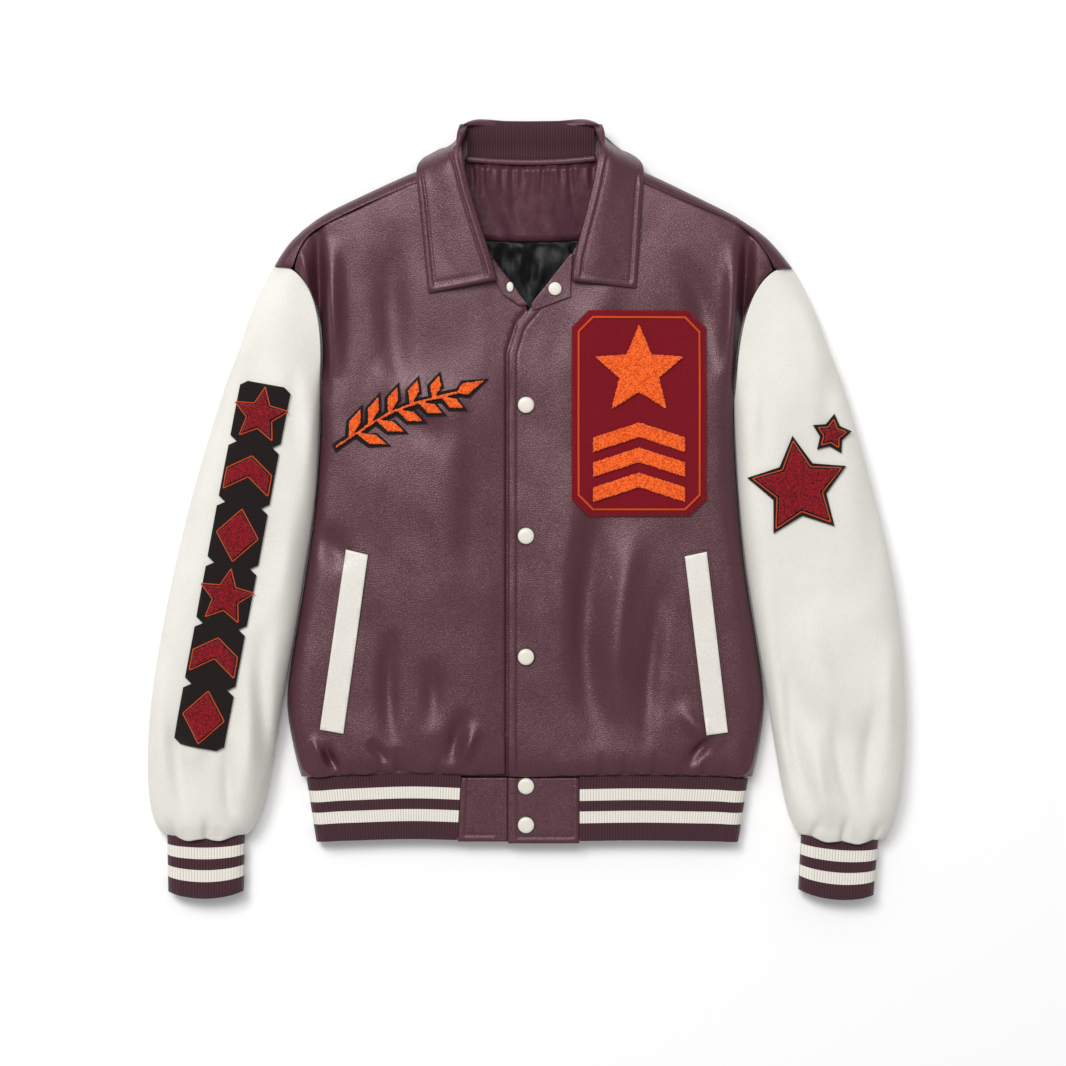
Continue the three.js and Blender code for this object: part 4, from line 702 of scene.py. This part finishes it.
def rib_knit(name, stripes):
    """Wool rib: rounded wales of small V stitches with shade painted into the furrows between them, and
    stripes that change colour at a course. The Down attribute is the distance below the band's upper edge,
    and Wale counts the wales."""
    material, add = bare_material(name)
    place = add("TexCoord").outputs["Object"]
    count = add("Attribute", attribute_name="Wale").outputs["Fac"]
    down = add("Attribute", attribute_name="Down").outputs["Fac"]
    # A stitch is 1.2 mm high; it is drawn at 2 mm, and its V leans half a stitch across each wale.
    folded = add("Math", {0: count, 1: 0.5}, operation="PINGPONG")
    course = add("Math", {0: down, 1: 1 / 2.0}, operation="MULTIPLY")
    leaning = add("Math", {0: folded, 1: course}, operation="ADD")
    row = add("Math", {0: leaning, 1: 0.5}, operation="PINGPONG")
    fuzz = add("TexNoise", {"Vector": place, "Scale": 1 / (0.8 * MM), "Detail": 4})
    cream = 0.0
    for k, limit in enumerate(stripes):
        past = add("Math", {0: down, 1: limit}, operation="GREATER_THAN")
        cream = add("Math", {0: cream, 1: past}, operation="SUBTRACT" if k % 2 else "ADD")
    yarn = add("Mix", {0: cream, 6: linear("#4a2a33"), 7: linear("#f0ebe2")}, data_type="RGBA")
    # The shade colour is painted into the furrows between the wales and the rows between the stitches.
    shade = add("Mix", {0: cream, 6: linear("#24141a"), 7: linear("#bdb4a6")}, data_type="RGBA")
    furrow = add("MapRange", {0: folded, 1: 0.22, 2: 0.0, 3: 0.0, 4: 0.85})
    stitch = add("MapRange", {0: row, 1: 0.12, 2: 0.0, 3: 0.0, 4: 0.35})
    dark = add("Math", {0: furrow, 1: stitch}, operation="MAXIMUM")
    coloured = add("Mix", {0: dark, 6: yarn, 7: shade}, data_type="RGBA")
    height = add("Math", {0: fuzz, 1: dark}, operation="SUBTRACT")
    bump = add("Bump", {"Height": height, "Strength": 0.8, "Distance": 0.4 * MM})
    surface = {
        "Base Color": coloured,
        "Roughness": 0.92,
        "Sheen Weight": 0.2,
        "Specular IOR Level": 0.25,
        "Normal": bump,
    }
    add("OutputMaterial", {"Surface": add("BsdfPrincipled", surface)})
    return material


def marked(piece, **fields):
    """Writes what each function gives for the piece's points as an attribute of that name."""
    for field, given in fields.items():
        values = [given(vertex.co) for vertex in piece.data.vertices]
        piece.data.attributes.new(field, "FLOAT", "POINT").data.foreach_set("value", values)


def cut_across(mesh, axis, places):
    """Slices a mesh at each place along an axis, in millimetres, so that it can bend there."""
    for place in places:
        spot, way = Vector((0, 0, 0)), Vector((0, 0, 0))
        spot[axis] = place * MM
        way[axis] = 1
        geometry = mesh.verts[:] + mesh.edges[:] + mesh.faces[:]
        bmesh.ops.bisect_plane(mesh, geom=geometry, plane_co=spot, plane_no=way, dist=MERGE)
    return mesh


def hem_settled(vertex):
    """The band bows up with the fronts' seam, and a little less at its free edge."""
    x, y, _ = vertex.co / MM
    return Vector((0, waist_bow(x) * (1 - HEM_BOW_LOSS * (HEM_TOP - y) / HEM_DEPTH) * MM, 0))


def hem_wale(co):
    """The rib's own count of wales, from the tab outwards, which the taper and the splay have moved."""
    x, down = co.x / MM, (HEM_TOP - co.y / MM) / HEM_DEPTH
    straight = x / (1 - HEM_TAPER * down * eased(abs(x), 60, 200))
    if x < 0:
        return (straight + TAB_SPLAY * down * (1 - eased(-x, 70, 140)) - HEM_FROM["right"]) / RIB
    return (straight - HEM_FROM["left"]) / RIB


hem_knit = rib_knit("plum_rib_hem", HEM_STRIPES)
hem = as_piece("hem_band", cut_across(copied("hem_rib"), 1, HEM_CUTS), hem_knit)
rounded(hem, 2)
marked(hem, Down=lambda co: HEM_TOP - co.y / MM, Wale=hem_wale)
moved(hem, hem_settled)
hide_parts("hem_rib")

cuff_knit = rib_knit("plum_rib_cuff", CUFF_STRIPES)
for side, (top_x, top_y, turn) in CUFF_TOPS.items():

    def own_place(co):
        x, y = co.x / MM - top_x, co.y / MM - top_y
        return x * math.cos(turn) + y * math.sin(turn), y * math.cos(turn) - x * math.sin(turn)

    def below_top(co):
        x, y = own_place(co)
        middle = 1 - min(abs(x) / CUFF_HALF, 1) ** 2
        depth = -y / (1 + CUFF_BOW / CUFF_LENGTH * middle)
        return depth + CUFF_CORNER_DROP * (1 - middle) * (1 - depth / CUFF_LENGTH)

    def wale(co):
        x, y = own_place(co)
        return (x / (1 + CUFF_TAPER * y / CUFF_LENGTH) - CUFF_RIBS_FROM) / CUFF_RIB

    cuff = rounded(as_piece(f"cuff_band_{side}", copied(f"cuff_{side}"), cuff_knit), 2)
    marked(cuff, Down=below_top, Wale=wale)
    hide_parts(f"cuff_{side}")


# The hem's tabs
# The leather ends of the band, where two snaps close it. They are interfaced, and topstitched 6.5 mm inside
# their edges.
TAB_STITCH = 6.5
TAB_PUFF = 0.5
TAB_GRID = 1.6
TAB_TOP = 17.5
# The right tab's end is flattened to one level where the left one lies on it.
TAB_LEVEL = 21.2
UNDER_LAP = (-32, -19.3)


def rims_of(mesh):
    """Points every 2 mm along a piece's cut edges, for finding how far inside them a place lies."""
    spots = []
    for edge in mesh.edges:
        if edge.is_manifold and edge.calc_face_angle() > CUT_EDGE:
            start, end = edge.verts[0].co, edge.verts[1].co
            count = max(int((end - start).length / (2 * MM)), 1)
            spots += [start.lerp(end, k / count) for k in range(count + 1)]
    tree = KDTree(len(spots))
    for k, spot in enumerate(spots):
        tree.insert(spot, k)
    tree.balance()
    return tree


def welted_edge(distance, line, puff):
    """The soft roll outside a topstitched line and the furrow that the stitches pull, in millimetres."""
    outside = math.sin(math.pi * min(distance / line, 1)) ** 0.8 * puff
    furrow = math.exp(-(((distance - line) / STITCH_HALF) ** 2)) * 0.9 * puff
    return outside - furrow


tabs = {}
for side in ("right", "left"):
    mesh = copied(f"hem_tab_{side}")
    low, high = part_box(f"hem_tab_{side}")
    for axis in (0, 1):
        count = int((high - low)[axis] / MM / TAB_GRID)
        cut_across(mesh, axis, [low[axis] / MM + TAB_GRID * k for k in range(1, count)])
    tab = as_piece(f"band_tab_{side}", mesh, plum_leather)

    def tab_puff(vertex, low=low / MM, high=high / MM, side=side):
        x, y, z = vertex.co / MM
        if side == "right" and vertex.normal.z > 0.2 and UNDER_LAP[0] < x < UNDER_LAP[1]:
            return Vector((0, 0, (TAB_LEVEL - z) * MM))
        if z < TAB_TOP:
            return Vector((0, 0, 0))
        splay = TAB_SPLAY * (high.y - y) / HEM_DEPTH if side == "right" else 0
        inside = min(x - low.x - TAB_SPLAY + splay, y - low.y)
        if side == "left":
            inside = min(inside, high.x - x)
        puff = welted_edge(max(inside, 0), TAB_STITCH, TAB_PUFF)
        return Vector((0, 0, (puff + 0.1 * slack(3 * x, 3 * y)) * MM))

    moved(tab, tab_puff)
    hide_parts(f"hem_tab_{side}")
    tabs[side] = tab
TAB_LINES = {
    "right": [[(-60, -272), (-62.5, -327), (-20, -327)]],
    "left": [[(-12, -272), (-12, -329.5), (46, -329.5), (46, -272)]],
}
for side, lines in TAB_LINES.items():
    stitched(f"tab_stitching_{side}", surface_of(tabs[side]), lines)


# The collar and its stand
# Two leaves of interlined leather, bagged out and topstitched 6.5 mm inside the edge, which makes the edge
# stand up in a soft roll. Inside the neck a plum rib stand joins the leaves to the neck seam.
COLLAR_STITCH = 6.5
COLLAR_PUFF = 1.1
# The leaves lie above these heights and below these places; the rest is the fold and the fall behind it.
LEAF_FROM = (30, 33)
FOLD_FROM = (345, 365)

collar_mesh = copied("collar")
collar_rims = rims_of(collar_mesh)
collar = rounded(as_piece("shirt_collar", collar_mesh, plum_leather), 3)


def collar_settled(vertex):
    x, y, z = vertex.co / MM
    _, _, away = collar_rims.find(vertex.co)
    leaf = eased(z, *LEAF_FROM) * (1 - eased(y, *FOLD_FROM))
    puff = welted_edge(away / MM, COLLAR_STITCH, COLLAR_PUFF) * leaf
    soft = 0.35 * slack(2 * x, 2 * y) * eased(away / MM, 4, 20) * leaf
    return vertex.normal * puff * MM + Vector((0, 0, soft * MM))


moved(collar, collar_settled)
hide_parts("collar")

COLLAR_EDGES = {
    "right": ((-35, 233), (-93, 222.5), (-96.5, 250), (-100, 296), (-103.5, 322), (-104.5, 340)),
    "left": ((51, 233.5), (102.5, 227.5), (104.5, 250), (107, 296), (109.5, 322), (110.5, 340)),
}
collar_top = surface_of(collar)
for side, line in COLLAR_EDGES.items():
    stitched(f"collar_stitching_{side}", collar_top, [line])

STAND_CUTS = (358, 366, 374)
STAND_REACH = 8.5
STAND_RISE = 6.0
STAND_TUCK = 2.5
STAND_FROM = -60
STAND_RIB = 128 / 46
stand = as_piece("collar_stand_rib", cut_across(copied("collar_stand"), 1, STAND_CUTS), hem_knit)
rounded(stand, 2)


def over_the_roll(vertex):
    """The stand's knit carries on up and over the collar's fold, and turns down behind it."""
    y = vertex.co.y / MM
    rise = STAND_RISE * eased(y, 361, 378) - STAND_TUCK * eased(y, 377, 381)
    return Vector((0, STAND_REACH * eased(y, 368, 381) * MM, rise * MM))


moved(stand, over_the_roll)
marked(stand, Down=lambda co: 0.0, Wale=lambda co: (co.x / MM - STAND_FROM) / STAND_RIB)
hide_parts("collar_stand")


# The neck facing, its binding and the lining
# Plum satin gathered across the back of the neck, bound at the seam, above the black satin lining that
# shows in the opening.
def woven_satin(name, colour, light, sheen, wrinkle, gloss):
    """Satin weave: long floats that shine along one way, so that each fold has a bright side."""
    material, add = bare_material(name)
    place = add("TexCoord").outputs["Object"]
    drawn = add("Mapping", {"Vector": place, "Scale": (1.0, 0.12, 1.0)})
    # Threads lie 0.1 mm apart; they are drawn at 0.9 mm as faint streaks.
    thread = add("TexNoise", {"Vector": drawn, "Scale": 1 / (0.9 * MM), "Detail": 2})
    ruck = add("TexNoise", {"Vector": place, "Scale": 1 / (wrinkle * MM), "Detail": 2})
    tone = add("MapRange", {0: thread, 1: 0.3, 2: 0.7, 3: 0.0, 4: 0.6})
    dyed = add("Mix", {0: tone, 6: linear(colour), 7: linear(light)}, data_type="RGBA")
    height = add("Mix", {0: 0.85, 2: thread, 3: ruck}, data_type="FLOAT")
    bump = add("Bump", {"Height": height, "Strength": 1.0, "Distance": 1.2 * MM})
    surface = {
        "Base Color": dyed,
        "Roughness": 0.34,
        "Specular IOR Level": gloss,
        "Specular Tint": linear(sheen),
        "Anisotropic": 0.4,
        "Normal": bump,
    }
    add("OutputMaterial", {"Surface": add("BsdfPrincipled", surface)})
    return material


plum_satin = woven_satin("plum_satin", "#462730", "#50313b", "#e8b9c6", 24, 0.36)
black_satin = woven_satin("black_satin", "#050506", "#0b0c0d", "#ffffff", 26, 0.14)
FACING_GATHER = 10
GATHER_RISE = 0.8
SATIN_FOLD = 2.6


def facing_settled(vertex):
    """Fine gathers that run down from the neck seam and die out, over slacker folds."""
    x, y, _ = vertex.co / MM
    wander = x + 3 * noise.noise(Vector((x / 20, y / 30, 1.0)))
    gather = math.cos(2 * math.pi * wander / FACING_GATHER) * eased(y, 312, 340)
    fold = noise.noise(Vector(((x + 0.3 * y) / 15, y / 75, 2.0)))
    return Vector((0, 0, (GATHER_RISE * gather + SATIN_FOLD * fold) * MM))


facing = rounded(as_piece("neck_facing_satin", copied("neck_facing"), plum_satin), 2)
moved(facing, facing_settled)
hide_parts("neck_facing")


def lining_settled(vertex):
    """Loose rucks that hang below the facing's seam."""
    x, y, _ = vertex.co / MM
    ruck = noise.noise(Vector((x / 15, y / 42, 6.0))) + 0.6 * noise.noise(Vector((x / 8, y / 18, 2.0)))
    return Vector((0, 0, SATIN_FOLD * ruck * (1 - eased(y, 262, 272)) * MM))


lining = rounded(as_piece("back_lining_satin", copied("back_lining"), black_satin), 3)
moved(lining, lining_settled)
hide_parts("back_lining")

binding = rounded(as_piece("neck_binding_satin", copied("neck_binding"), plum_leather), 2)
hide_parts("neck_binding")


# The turned-out corners
# Above the top snap each front opens and turns out, and shows the leather facing inside.
def laid_on(rise):
    """A shift for what lies on a panel: up and down with the panel's own creases."""
    return lambda vertex: Vector((0, 0, rise(vertex.co.x / MM, vertex.co.y / MM) * MM))


def diced(mesh, step):
    """Slices a flat piece both ways every so many millimetres, so that it bends with what it lies on."""
    for axis in (0, 1):
        spots = [vertex.co[axis] / MM for vertex in mesh.verts]
        low, high = min(spots), max(spots)
        cut_across(mesh, axis, [low + step * k for k in range(1, int((high - low) / step) + 1)])
    return mesh


CORNER_CUTS = {"right": ((0.047, 0.05), 0.0011), "left": ((0.043, 0.057), 0.0012)}
for side, (flat, area) in CORNER_CUTS.items():
    corner = as_piece(f"turned_corner_{side}", diced(copied(f"corner_{side}"), 3), plum_leather)
    moved(corner, laid_on(front_rise))
    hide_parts(f"corner_{side}")


# The pocket welts
# A strip of smooth cream leather stands in each pocket's mouth. Its edges are cut and painted dark, and a
# row of plum stitches 3 mm outside holds the pocket bag.
cream_leather = grained_leather(
    "cream_leather", "#e0dbd2", "#d6d0c6", "#e4dfd7", "#ffffff", 3.4, 0.05, 0.45
)
edge_paint = sewing_thread("edge_paint", "#2c1a1f")
POCKET_STITCH = 3.0
WELT_EDGE = 0.7
WELTS = {
    "right": ((-181.3, -41.4), (-159, -46.8), (-183.4, -225.8), (-207, -221.6)),
    "left": ((157.6, -48.3), (179.7, -43.7), (200.9, -224.4), (179.3, -227.2)),
}


def grown(places, out):
    """An outline moved outwards by so many millimetres from its own middle."""
    middle = Vector((sum(x for x, _ in places), sum(y for _, y in places))) / len(places)
    return [(x + math.copysign(out, x - middle.x), y + math.copysign(out, y - middle.y)) for x, y in places]


for side, outline in WELTS.items():
    welt = as_piece(f"pocket_welt_leather_{side}", diced(copied(f"pocket_welt_{side}"), 4), cream_leather)
    moved(welt, laid_on(front_rise))
    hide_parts(f"pocket_welt_{side}")
    look = surface_of(fronts[side])
    around = grown(outline, POCKET_STITCH)
    stitched(f"pocket_stitching_{side}", look, [[*around, around[0]]], pitch=3.0)
    close = grown(outline, WELT_EDGE)
    rims = [[*close, close[0]]]
    stitched(f"welt_edge_{side}", look, rims, thread=edge_paint, pitch=1.4, sunk=-0.2)


# The snaps
# Brass caps enamelled cream, each on a dark disc that paints the shadow round its rim, and one open pair at
# the neck.
SNAP_SIDES = 48
SNAPS = (*(f"snap_{k}" for k in range(1, 6)), "snap_neck_cap", "snap_neck_socket")


def enamel(name, colour, shade, roughness):
    """Baked enamel on a pressed cap: even, glossy, faintly uneven where it was dipped."""
    material, add = bare_material(name)
    place = add("TexCoord").outputs["Object"]
    dip = add("TexNoise", {"Vector": place, "Scale": 1 / (5 * MM), "Detail": 2})
    dyed = add("Mix", {0: dip, 6: linear(colour), 7: linear(shade)}, data_type="RGBA")
    bump = add("Bump", {"Height": dip, "Strength": 0.3, "Distance": 0.15 * MM})
    shader = add("BsdfPrincipled", {"Base Color": dyed, "Roughness": roughness, "Normal": bump})
    add("OutputMaterial", {"Surface": shader})
    return material


cream_enamel = enamel("cream_enamel", "#e6e0d5", "#dfd9cc", 0.3)
# A dark disc under each cap is painted shadow round its rim.
shade_disc_paint = enamel("shade_disc_paint", "#1b1315", "#2a1e21", 0.5)
# The cap's section from its middle to its foot, as shares of its radius: a low dome with a rolled rim.
CAP_SECTION = (
    (0, 0.3),
    (0.5, 0.29),
    (0.82, 0.26),
    (0.94, 0.19),
    (1.0, 0.08),
    (1.0, -0.02),
    (0.95, -0.08),
)
# The painted shadow disc stands out a tenth of the radius beyond the cap.
SHADE_DISC_SECTION = ((0, 0.08), (1.07, 0.08), (1.11, 0.04), (1.11, -0.1))


def spun(section, centre, radii, base):
    """Spins a section about an upright axis. radii are its sizes along X and Y, in metres."""
    mesh = bmesh.new()
    places = [mesh.verts.new((out, 0, up)) for out, up in section]
    edges = [mesh.edges.new(pair) for pair in zip(places, places[1:])]
    bmesh.ops.spin(
        mesh,
        geom=places + edges,
        cent=(0, 0, 0),
        axis=(0, 0, 1),
        angle=2 * math.pi,
        steps=SNAP_SIDES,
        use_merge=True,
    )
    bmesh.ops.remove_doubles(mesh, verts=mesh.verts, dist=1e-4)
    rim = [edge for edge in mesh.edges if edge.is_boundary]
    bmesh.ops.holes_fill(mesh, edges=rim, sides=0)
    bmesh.ops.recalc_face_normals(mesh, faces=mesh.faces)
    for vertex in mesh.verts:
        a, b, c = vertex.co
        vertex.co = (centre.x + a * radii[0], centre.y + b * radii[1], base + c * radii[1])
    return mesh


for node_name in SNAPS:
    low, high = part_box(node_name)
    centre = (low + high) / 2
    radii = (high - low) / 2
    dome = spun(CAP_SECTION, centre, radii, low.z + 0.1 * MM)
    cap = as_piece(f"{node_name}_enamel", dome, cream_enamel)
    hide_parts(node_name)
    # Under the cap lies the dark disc of painted shadow.
    ring = spun(SHADE_DISC_SECTION, centre, radii, low.z - 0.1 * MM)
    shade_disc = as_piece(f"{node_name}_washer", ring, shade_disc_paint)


# The chest patch
# Dark red felt with an inset orange cord and chenille in orange: looped yarn sewn down so close that its
# top is a mat of small curls.
def chenille_yarn(name, top, hollow_shade):
    """Looped chenille: painted bright where a curl's top catches the light and painted dark, as shade, in
    the gaps. The Curl attribute is the height of the curls, from 0 to 1."""
    material, add = bare_material(name)
    place = add("TexCoord").outputs["Object"]
    curl = add("Attribute", attribute_name="Curl").outputs["Fac"]
    fibre = add("TexNoise", {"Vector": place, "Scale": 1 / (0.7 * MM), "Detail": 3})
    # A curl's top is painted as lit, its gaps as shaded.
    lit = add("MapRange", {0: curl, 1: 0.12, 2: 0.62, 3: 0.0, 4: 1.0})
    dyed = add("Mix", {0: lit, 6: linear(hollow_shade), 7: linear(top)}, data_type="RGBA")
    bump = add("Bump", {"Height": fibre, "Strength": 0.6, "Distance": 0.3 * MM})
    surface = {
        "Base Color": dyed,
        "Roughness": 0.9,
        "Sheen Weight": 0.25,
        "Specular IOR Level": 0.2,
        "Normal": bump,
    }
    add("OutputMaterial", {"Surface": add("BsdfPrincipled", surface)})
    return material


# The felts' fibre, tones, relief and lustre.
FELT_NAP = (1.1, (0.32, 0.66), 0.46, 0.2)
red_felt = fulled_wool("red_felt", "#86061c", "#5f0513", *FELT_NAP, twist=0.6)
black_felt = fulled_wool("black_felt", "#211817", "#120c0c", *FELT_NAP, twist=0.6)
orange_chenille = chenille_yarn("orange_chenille", "#ff7029", "#cc430f")
red_chenille = chenille_yarn("red_chenille", "#96101d", "#5a0810")

CURL = 2.1
CURL_HEIGHT = 0.75
# The share of a curl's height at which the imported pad's own surface lies.
CURL_MIDDLE = 0.45
VOXEL = 0.75


def curls(x, y, z):
    """The height of chenille curls at a place, from 0 in the gaps to 1 on top."""
    spot = Vector((x, y, z * 0.5)) / CURL
    spot += 0.6 * Vector((noise.noise(spot * 0.7), noise.noise(spot * 0.7 + Vector((9, 0, 0))), 0))
    near = noise.voronoi(spot, distance_metric="DISTANCE")[0]
    return min(max(1.9 * (near[1] - near[0]), 0), 1)


def looped(name, node_name, material, rise):
    """Covers a packed pad with curls: an even fine mesh of it, pushed out and pulled in by the curls."""
    pad = as_piece(name, copied(node_name), material)
    even = pad.modifiers.new("Even", "REMESH")
    even.mode = "VOXEL"
    even.voxel_size = VOXEL * MM
    even.use_smooth_shade = True
    applied(pad)
    pad.data.shade_smooth()
    heights = [curls(*(vertex.co / MM)) for vertex in pad.data.vertices]
    mark = pad.data.attributes.new("Curl", "FLOAT", "POINT")
    mark.data.foreach_set("value", heights)

    def curled(vertex):
        out = (heights[vertex.index] - CURL_MIDDLE) * CURL_HEIGHT
        lift = rise(vertex.co.x / MM, vertex.co.y / MM)
        return (vertex.normal * out + Vector((0, 0, lift))) * MM

    moved(pad, curled)
    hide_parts(node_name)


FELT_GRID = 6


def felt_patch(name, node_name, material, rise):
    """A felt shape, cut out and laid over the panel with its creases."""
    patch = as_piece(name, diced(copied(node_name), FELT_GRID), material)
    moved(patch, laid_on(rise))
    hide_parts(node_name)
    return patch


plaque = felt_patch("plaque_felt", "chest_plaque", red_felt, front_rise)
felt_patch("plaque_inset", "chest_plaque_line", orange_chenille, front_rise)
for name in ("star", "chevron_1", "chevron_2", "chevron_3"):
    looped(f"plaque_{name}", f"chest_{name}", orange_chenille, front_rise)


# The sprig on the right chest
# Leaves of orange chenille in pairs along a stem, on black felt cut a little wider.
sprig_felt = felt_patch("sprig_backing", "sprig_felt", black_felt, front_rise)
looped("sprig_leaves", "sprig_chenille", orange_chenille, front_rise)


# The sleeve patches
# Dark red chenille with a thin orange cord around it, on black felt: a column of stars, chevrons and
# diamonds down the right sleeve, and two stars on the left one.
column = felt_patch("column_backing", "column_felt", black_felt, sleeve_rise)
COLUMN_COUNT = 6
for k in range(1, COLUMN_COUNT + 1):
    looped(f"column_pad_{k}", f"column_motif_{k}", red_chenille, sleeve_rise)
# The stars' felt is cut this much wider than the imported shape; each has its flat size and its area.
FELT_MARGIN = 2.0
STAR_CUTS = {"large": ((0.1, 0.1), 0.0047), "small": ((0.038, 0.038), 0.00068)}
on_sleeve = {}
for size, (flat, area) in STAR_CUTS.items():
    backing = felt_patch(f"star_backing_{size}", f"star_felt_{size}", black_felt, sleeve_rise)
    middle = sum(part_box(f"star_felt_{size}"), Vector()) / 2
    moved(backing, lambda vertex: (vertex.co - middle).to_2d().normalized().to_3d() * FELT_MARGIN * MM)
    on_sleeve[size] = surface_of(backing)
    looped(f"star_pad_{size}", f"star_chenille_{size}", red_chenille, sleeve_rise)


# The cords round the sleeves' motifs
# A thin orange cord is couched on the black felt, close round each red motif.
def star(radius, waist, turn=0.0):
    """The corners of a five-pointed star about its middle."""
    corners = []
    for k in range(10):
        angle = math.pi / 2 + turn + math.pi * k / 5
        reach = radius * waist if k % 2 else radius
        corners.append((reach * math.cos(angle), reach * math.sin(angle)))
    return corners


CORD = 0.65
CORD_STEP = 1.5
CORD_SIDES = 6


def corded(name, look, corners):
    """A cord that lies on the surface along a closed outline, a small round section swept in short steps."""
    mesh = bmesh.new()
    places = along([*corners, corners[0]], CORD_STEP)
    rings = []
    for k, (x, y) in enumerate(places):
        (x0, y0), (x2, y2) = places[k - 1], places[(k + 1) % len(places)]
        found = look(x, y)
        height = found[0].z / MM if found else rings[-1][0].co.z / MM
        across = Vector((y2 - y0, x0 - x2, 0)).normalized()
        middle = Vector((x, y, height + 0.4 * CORD))
        ring = []
        for m in range(CORD_SIDES):
            angle = 2 * math.pi * m / CORD_SIDES
            spot = middle + CORD * (math.cos(angle) * across + math.sin(angle) * Vector((0, 0, 1)))
            ring.append(mesh.verts.new(spot * MM))
        rings.append(ring)
    for ring, after in zip(rings, rings[1:] + rings[:1]):
        for m in range(CORD_SIDES):
            n = (m + 1) % CORD_SIDES
            mesh.faces.new((ring[m], ring[n], after[n], after[m]))
    bmesh.ops.recalc_face_normals(mesh, faces=mesh.faces)
    cord = as_piece(name, mesh, orange_chenille)


# How far the cord runs outside a motif's edge.
CORD_GAP = 1.5
COLUMN_TOP = Vector((-265, 93))
COLUMN_FOOT = Vector((-321, -208))
column_shapes = (
    star(25 + 2.2 * CORD_GAP, 0.47),
    [
        (-21 - CORD_GAP, 2 + 0.8 * CORD_GAP),
        (0, 17 + 1.3 * CORD_GAP),
        (21 + CORD_GAP, 2 + 0.8 * CORD_GAP),
        (21 + CORD_GAP, -15 - 1.8 * CORD_GAP),
        (0, -1.3 * CORD_GAP),
        (-21 - CORD_GAP, -15 - 1.8 * CORD_GAP),
    ],
    [
        (0, 24 + 1.6 * CORD_GAP),
        (19 + 1.3 * CORD_GAP, 0),
        (0, -24 - 1.6 * CORD_GAP),
        (-19 - 1.3 * CORD_GAP, 0),
    ],
)
on_column = surface_of(column)
lean = math.atan2(COLUMN_TOP.y - COLUMN_FOOT.y, COLUMN_TOP.x - COLUMN_FOOT.x) - math.pi / 2
for k in range(COLUMN_COUNT):
    middle = COLUMN_TOP.lerp(COLUMN_FOOT, k / (COLUMN_COUNT - 1))
    # A star's middle lies a little below its patch's.
    drop = -1 if k % 3 == 0 else 0
    corners = []
    for x, y in column_shapes[k % 3]:
        spot = Vector((x, y + drop))
        spot.rotate(Matrix.Rotation(lean, 2))
        corners.append(tuple(middle + spot))
    corded(f"column_cord_{k + 1}", on_column, corners)

# Each star's middle, outer radius, share of its waist, and turn in radians.
SLEEVE_STARS = {
    "large": (270, 20, 43 + 2.4 * CORD_GAP, 0.51, 0.12),
    "small": (303, 73, 12 + 2.0 * CORD_GAP, 0.52, -0.15),
}
for size, (x, y, radius, waist, turn) in SLEEVE_STARS.items():
    corners = [(x + a, y + b) for a, b in star(radius, waist, turn)]
    corded(f"star_cord_{size}", on_sleeve[size], corners)


# The floor, the light and the camera
# A pale seamless floor under soft light from the upper left, seen from straight above as in the photo.
FLOOR_HALF = 6
FLOOR_GAP = 0.4
floor_mesh = bmesh.new()
bmesh.ops.create_grid(floor_mesh, x_segments=1, y_segments=1, size=FLOOR_HALF)
for vertex in floor_mesh.verts:
    vertex.co.z = -FLOOR_GAP * MM
floor_data = bpy.data.meshes.new("floor")
floor_mesh.to_mesh(floor_data)
floor_mesh.free()
floor = bpy.data.objects.new("floor", floor_data)
bpy.context.scene.collection.objects.link(floor)
floor_paint, add = bare_material("floor_paint")
floor_shader = add("BsdfPrincipled", {"Base Color": linear("#ffffff"), "Roughness": 0.95})
add("OutputMaterial", {"Surface": floor_shader})
floor_data.materials.append(floor_paint)
floor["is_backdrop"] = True

Lamp = namedtuple("Lamp", "name place size power")
LAMPS = (
    Lamp("key", (-2.0, 2.6, 4.8), 2.0, 178),
    Lamp("top", (-0.2, 1.6, 4.6), 1.4, 46),
)
SKY = 0.47
for lamp in LAMPS:
    light = bpy.data.lights.new(lamp.name, "AREA")
    light.size = lamp.size
    light.energy = lamp.power
    holder = bpy.data.objects.new(lamp.name, light)
    holder.location = lamp.place
    holder.rotation_euler = Vector(lamp.place).to_track_quat("Z", "Y").to_euler()
    holder.visible_camera = False
    bpy.context.scene.collection.objects.link(holder)

sky = bpy.data.worlds.new("studio")
bpy.context.scene.world = sky
sky.use_nodes = True
sky.node_tree.nodes["Background"].inputs["Color"].default_value = (1, 1, 1, 1)
sky.node_tree.nodes["Background"].inputs["Strength"].default_value = SKY

camera_data = bpy.data.cameras.new("camera")
camera_data.sensor_width = 36
camera_data.lens = 87.8
camera_data.clip_end = 50
camera = bpy.data.objects.new("camera", camera_data)
camera.location = (0.006, -0.025, 2.63)
bpy.context.scene.collection.objects.link(camera)
bpy.context.scene.camera = camera
bpy.context.scene.view_settings.view_transform = "Standard"

low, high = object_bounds()
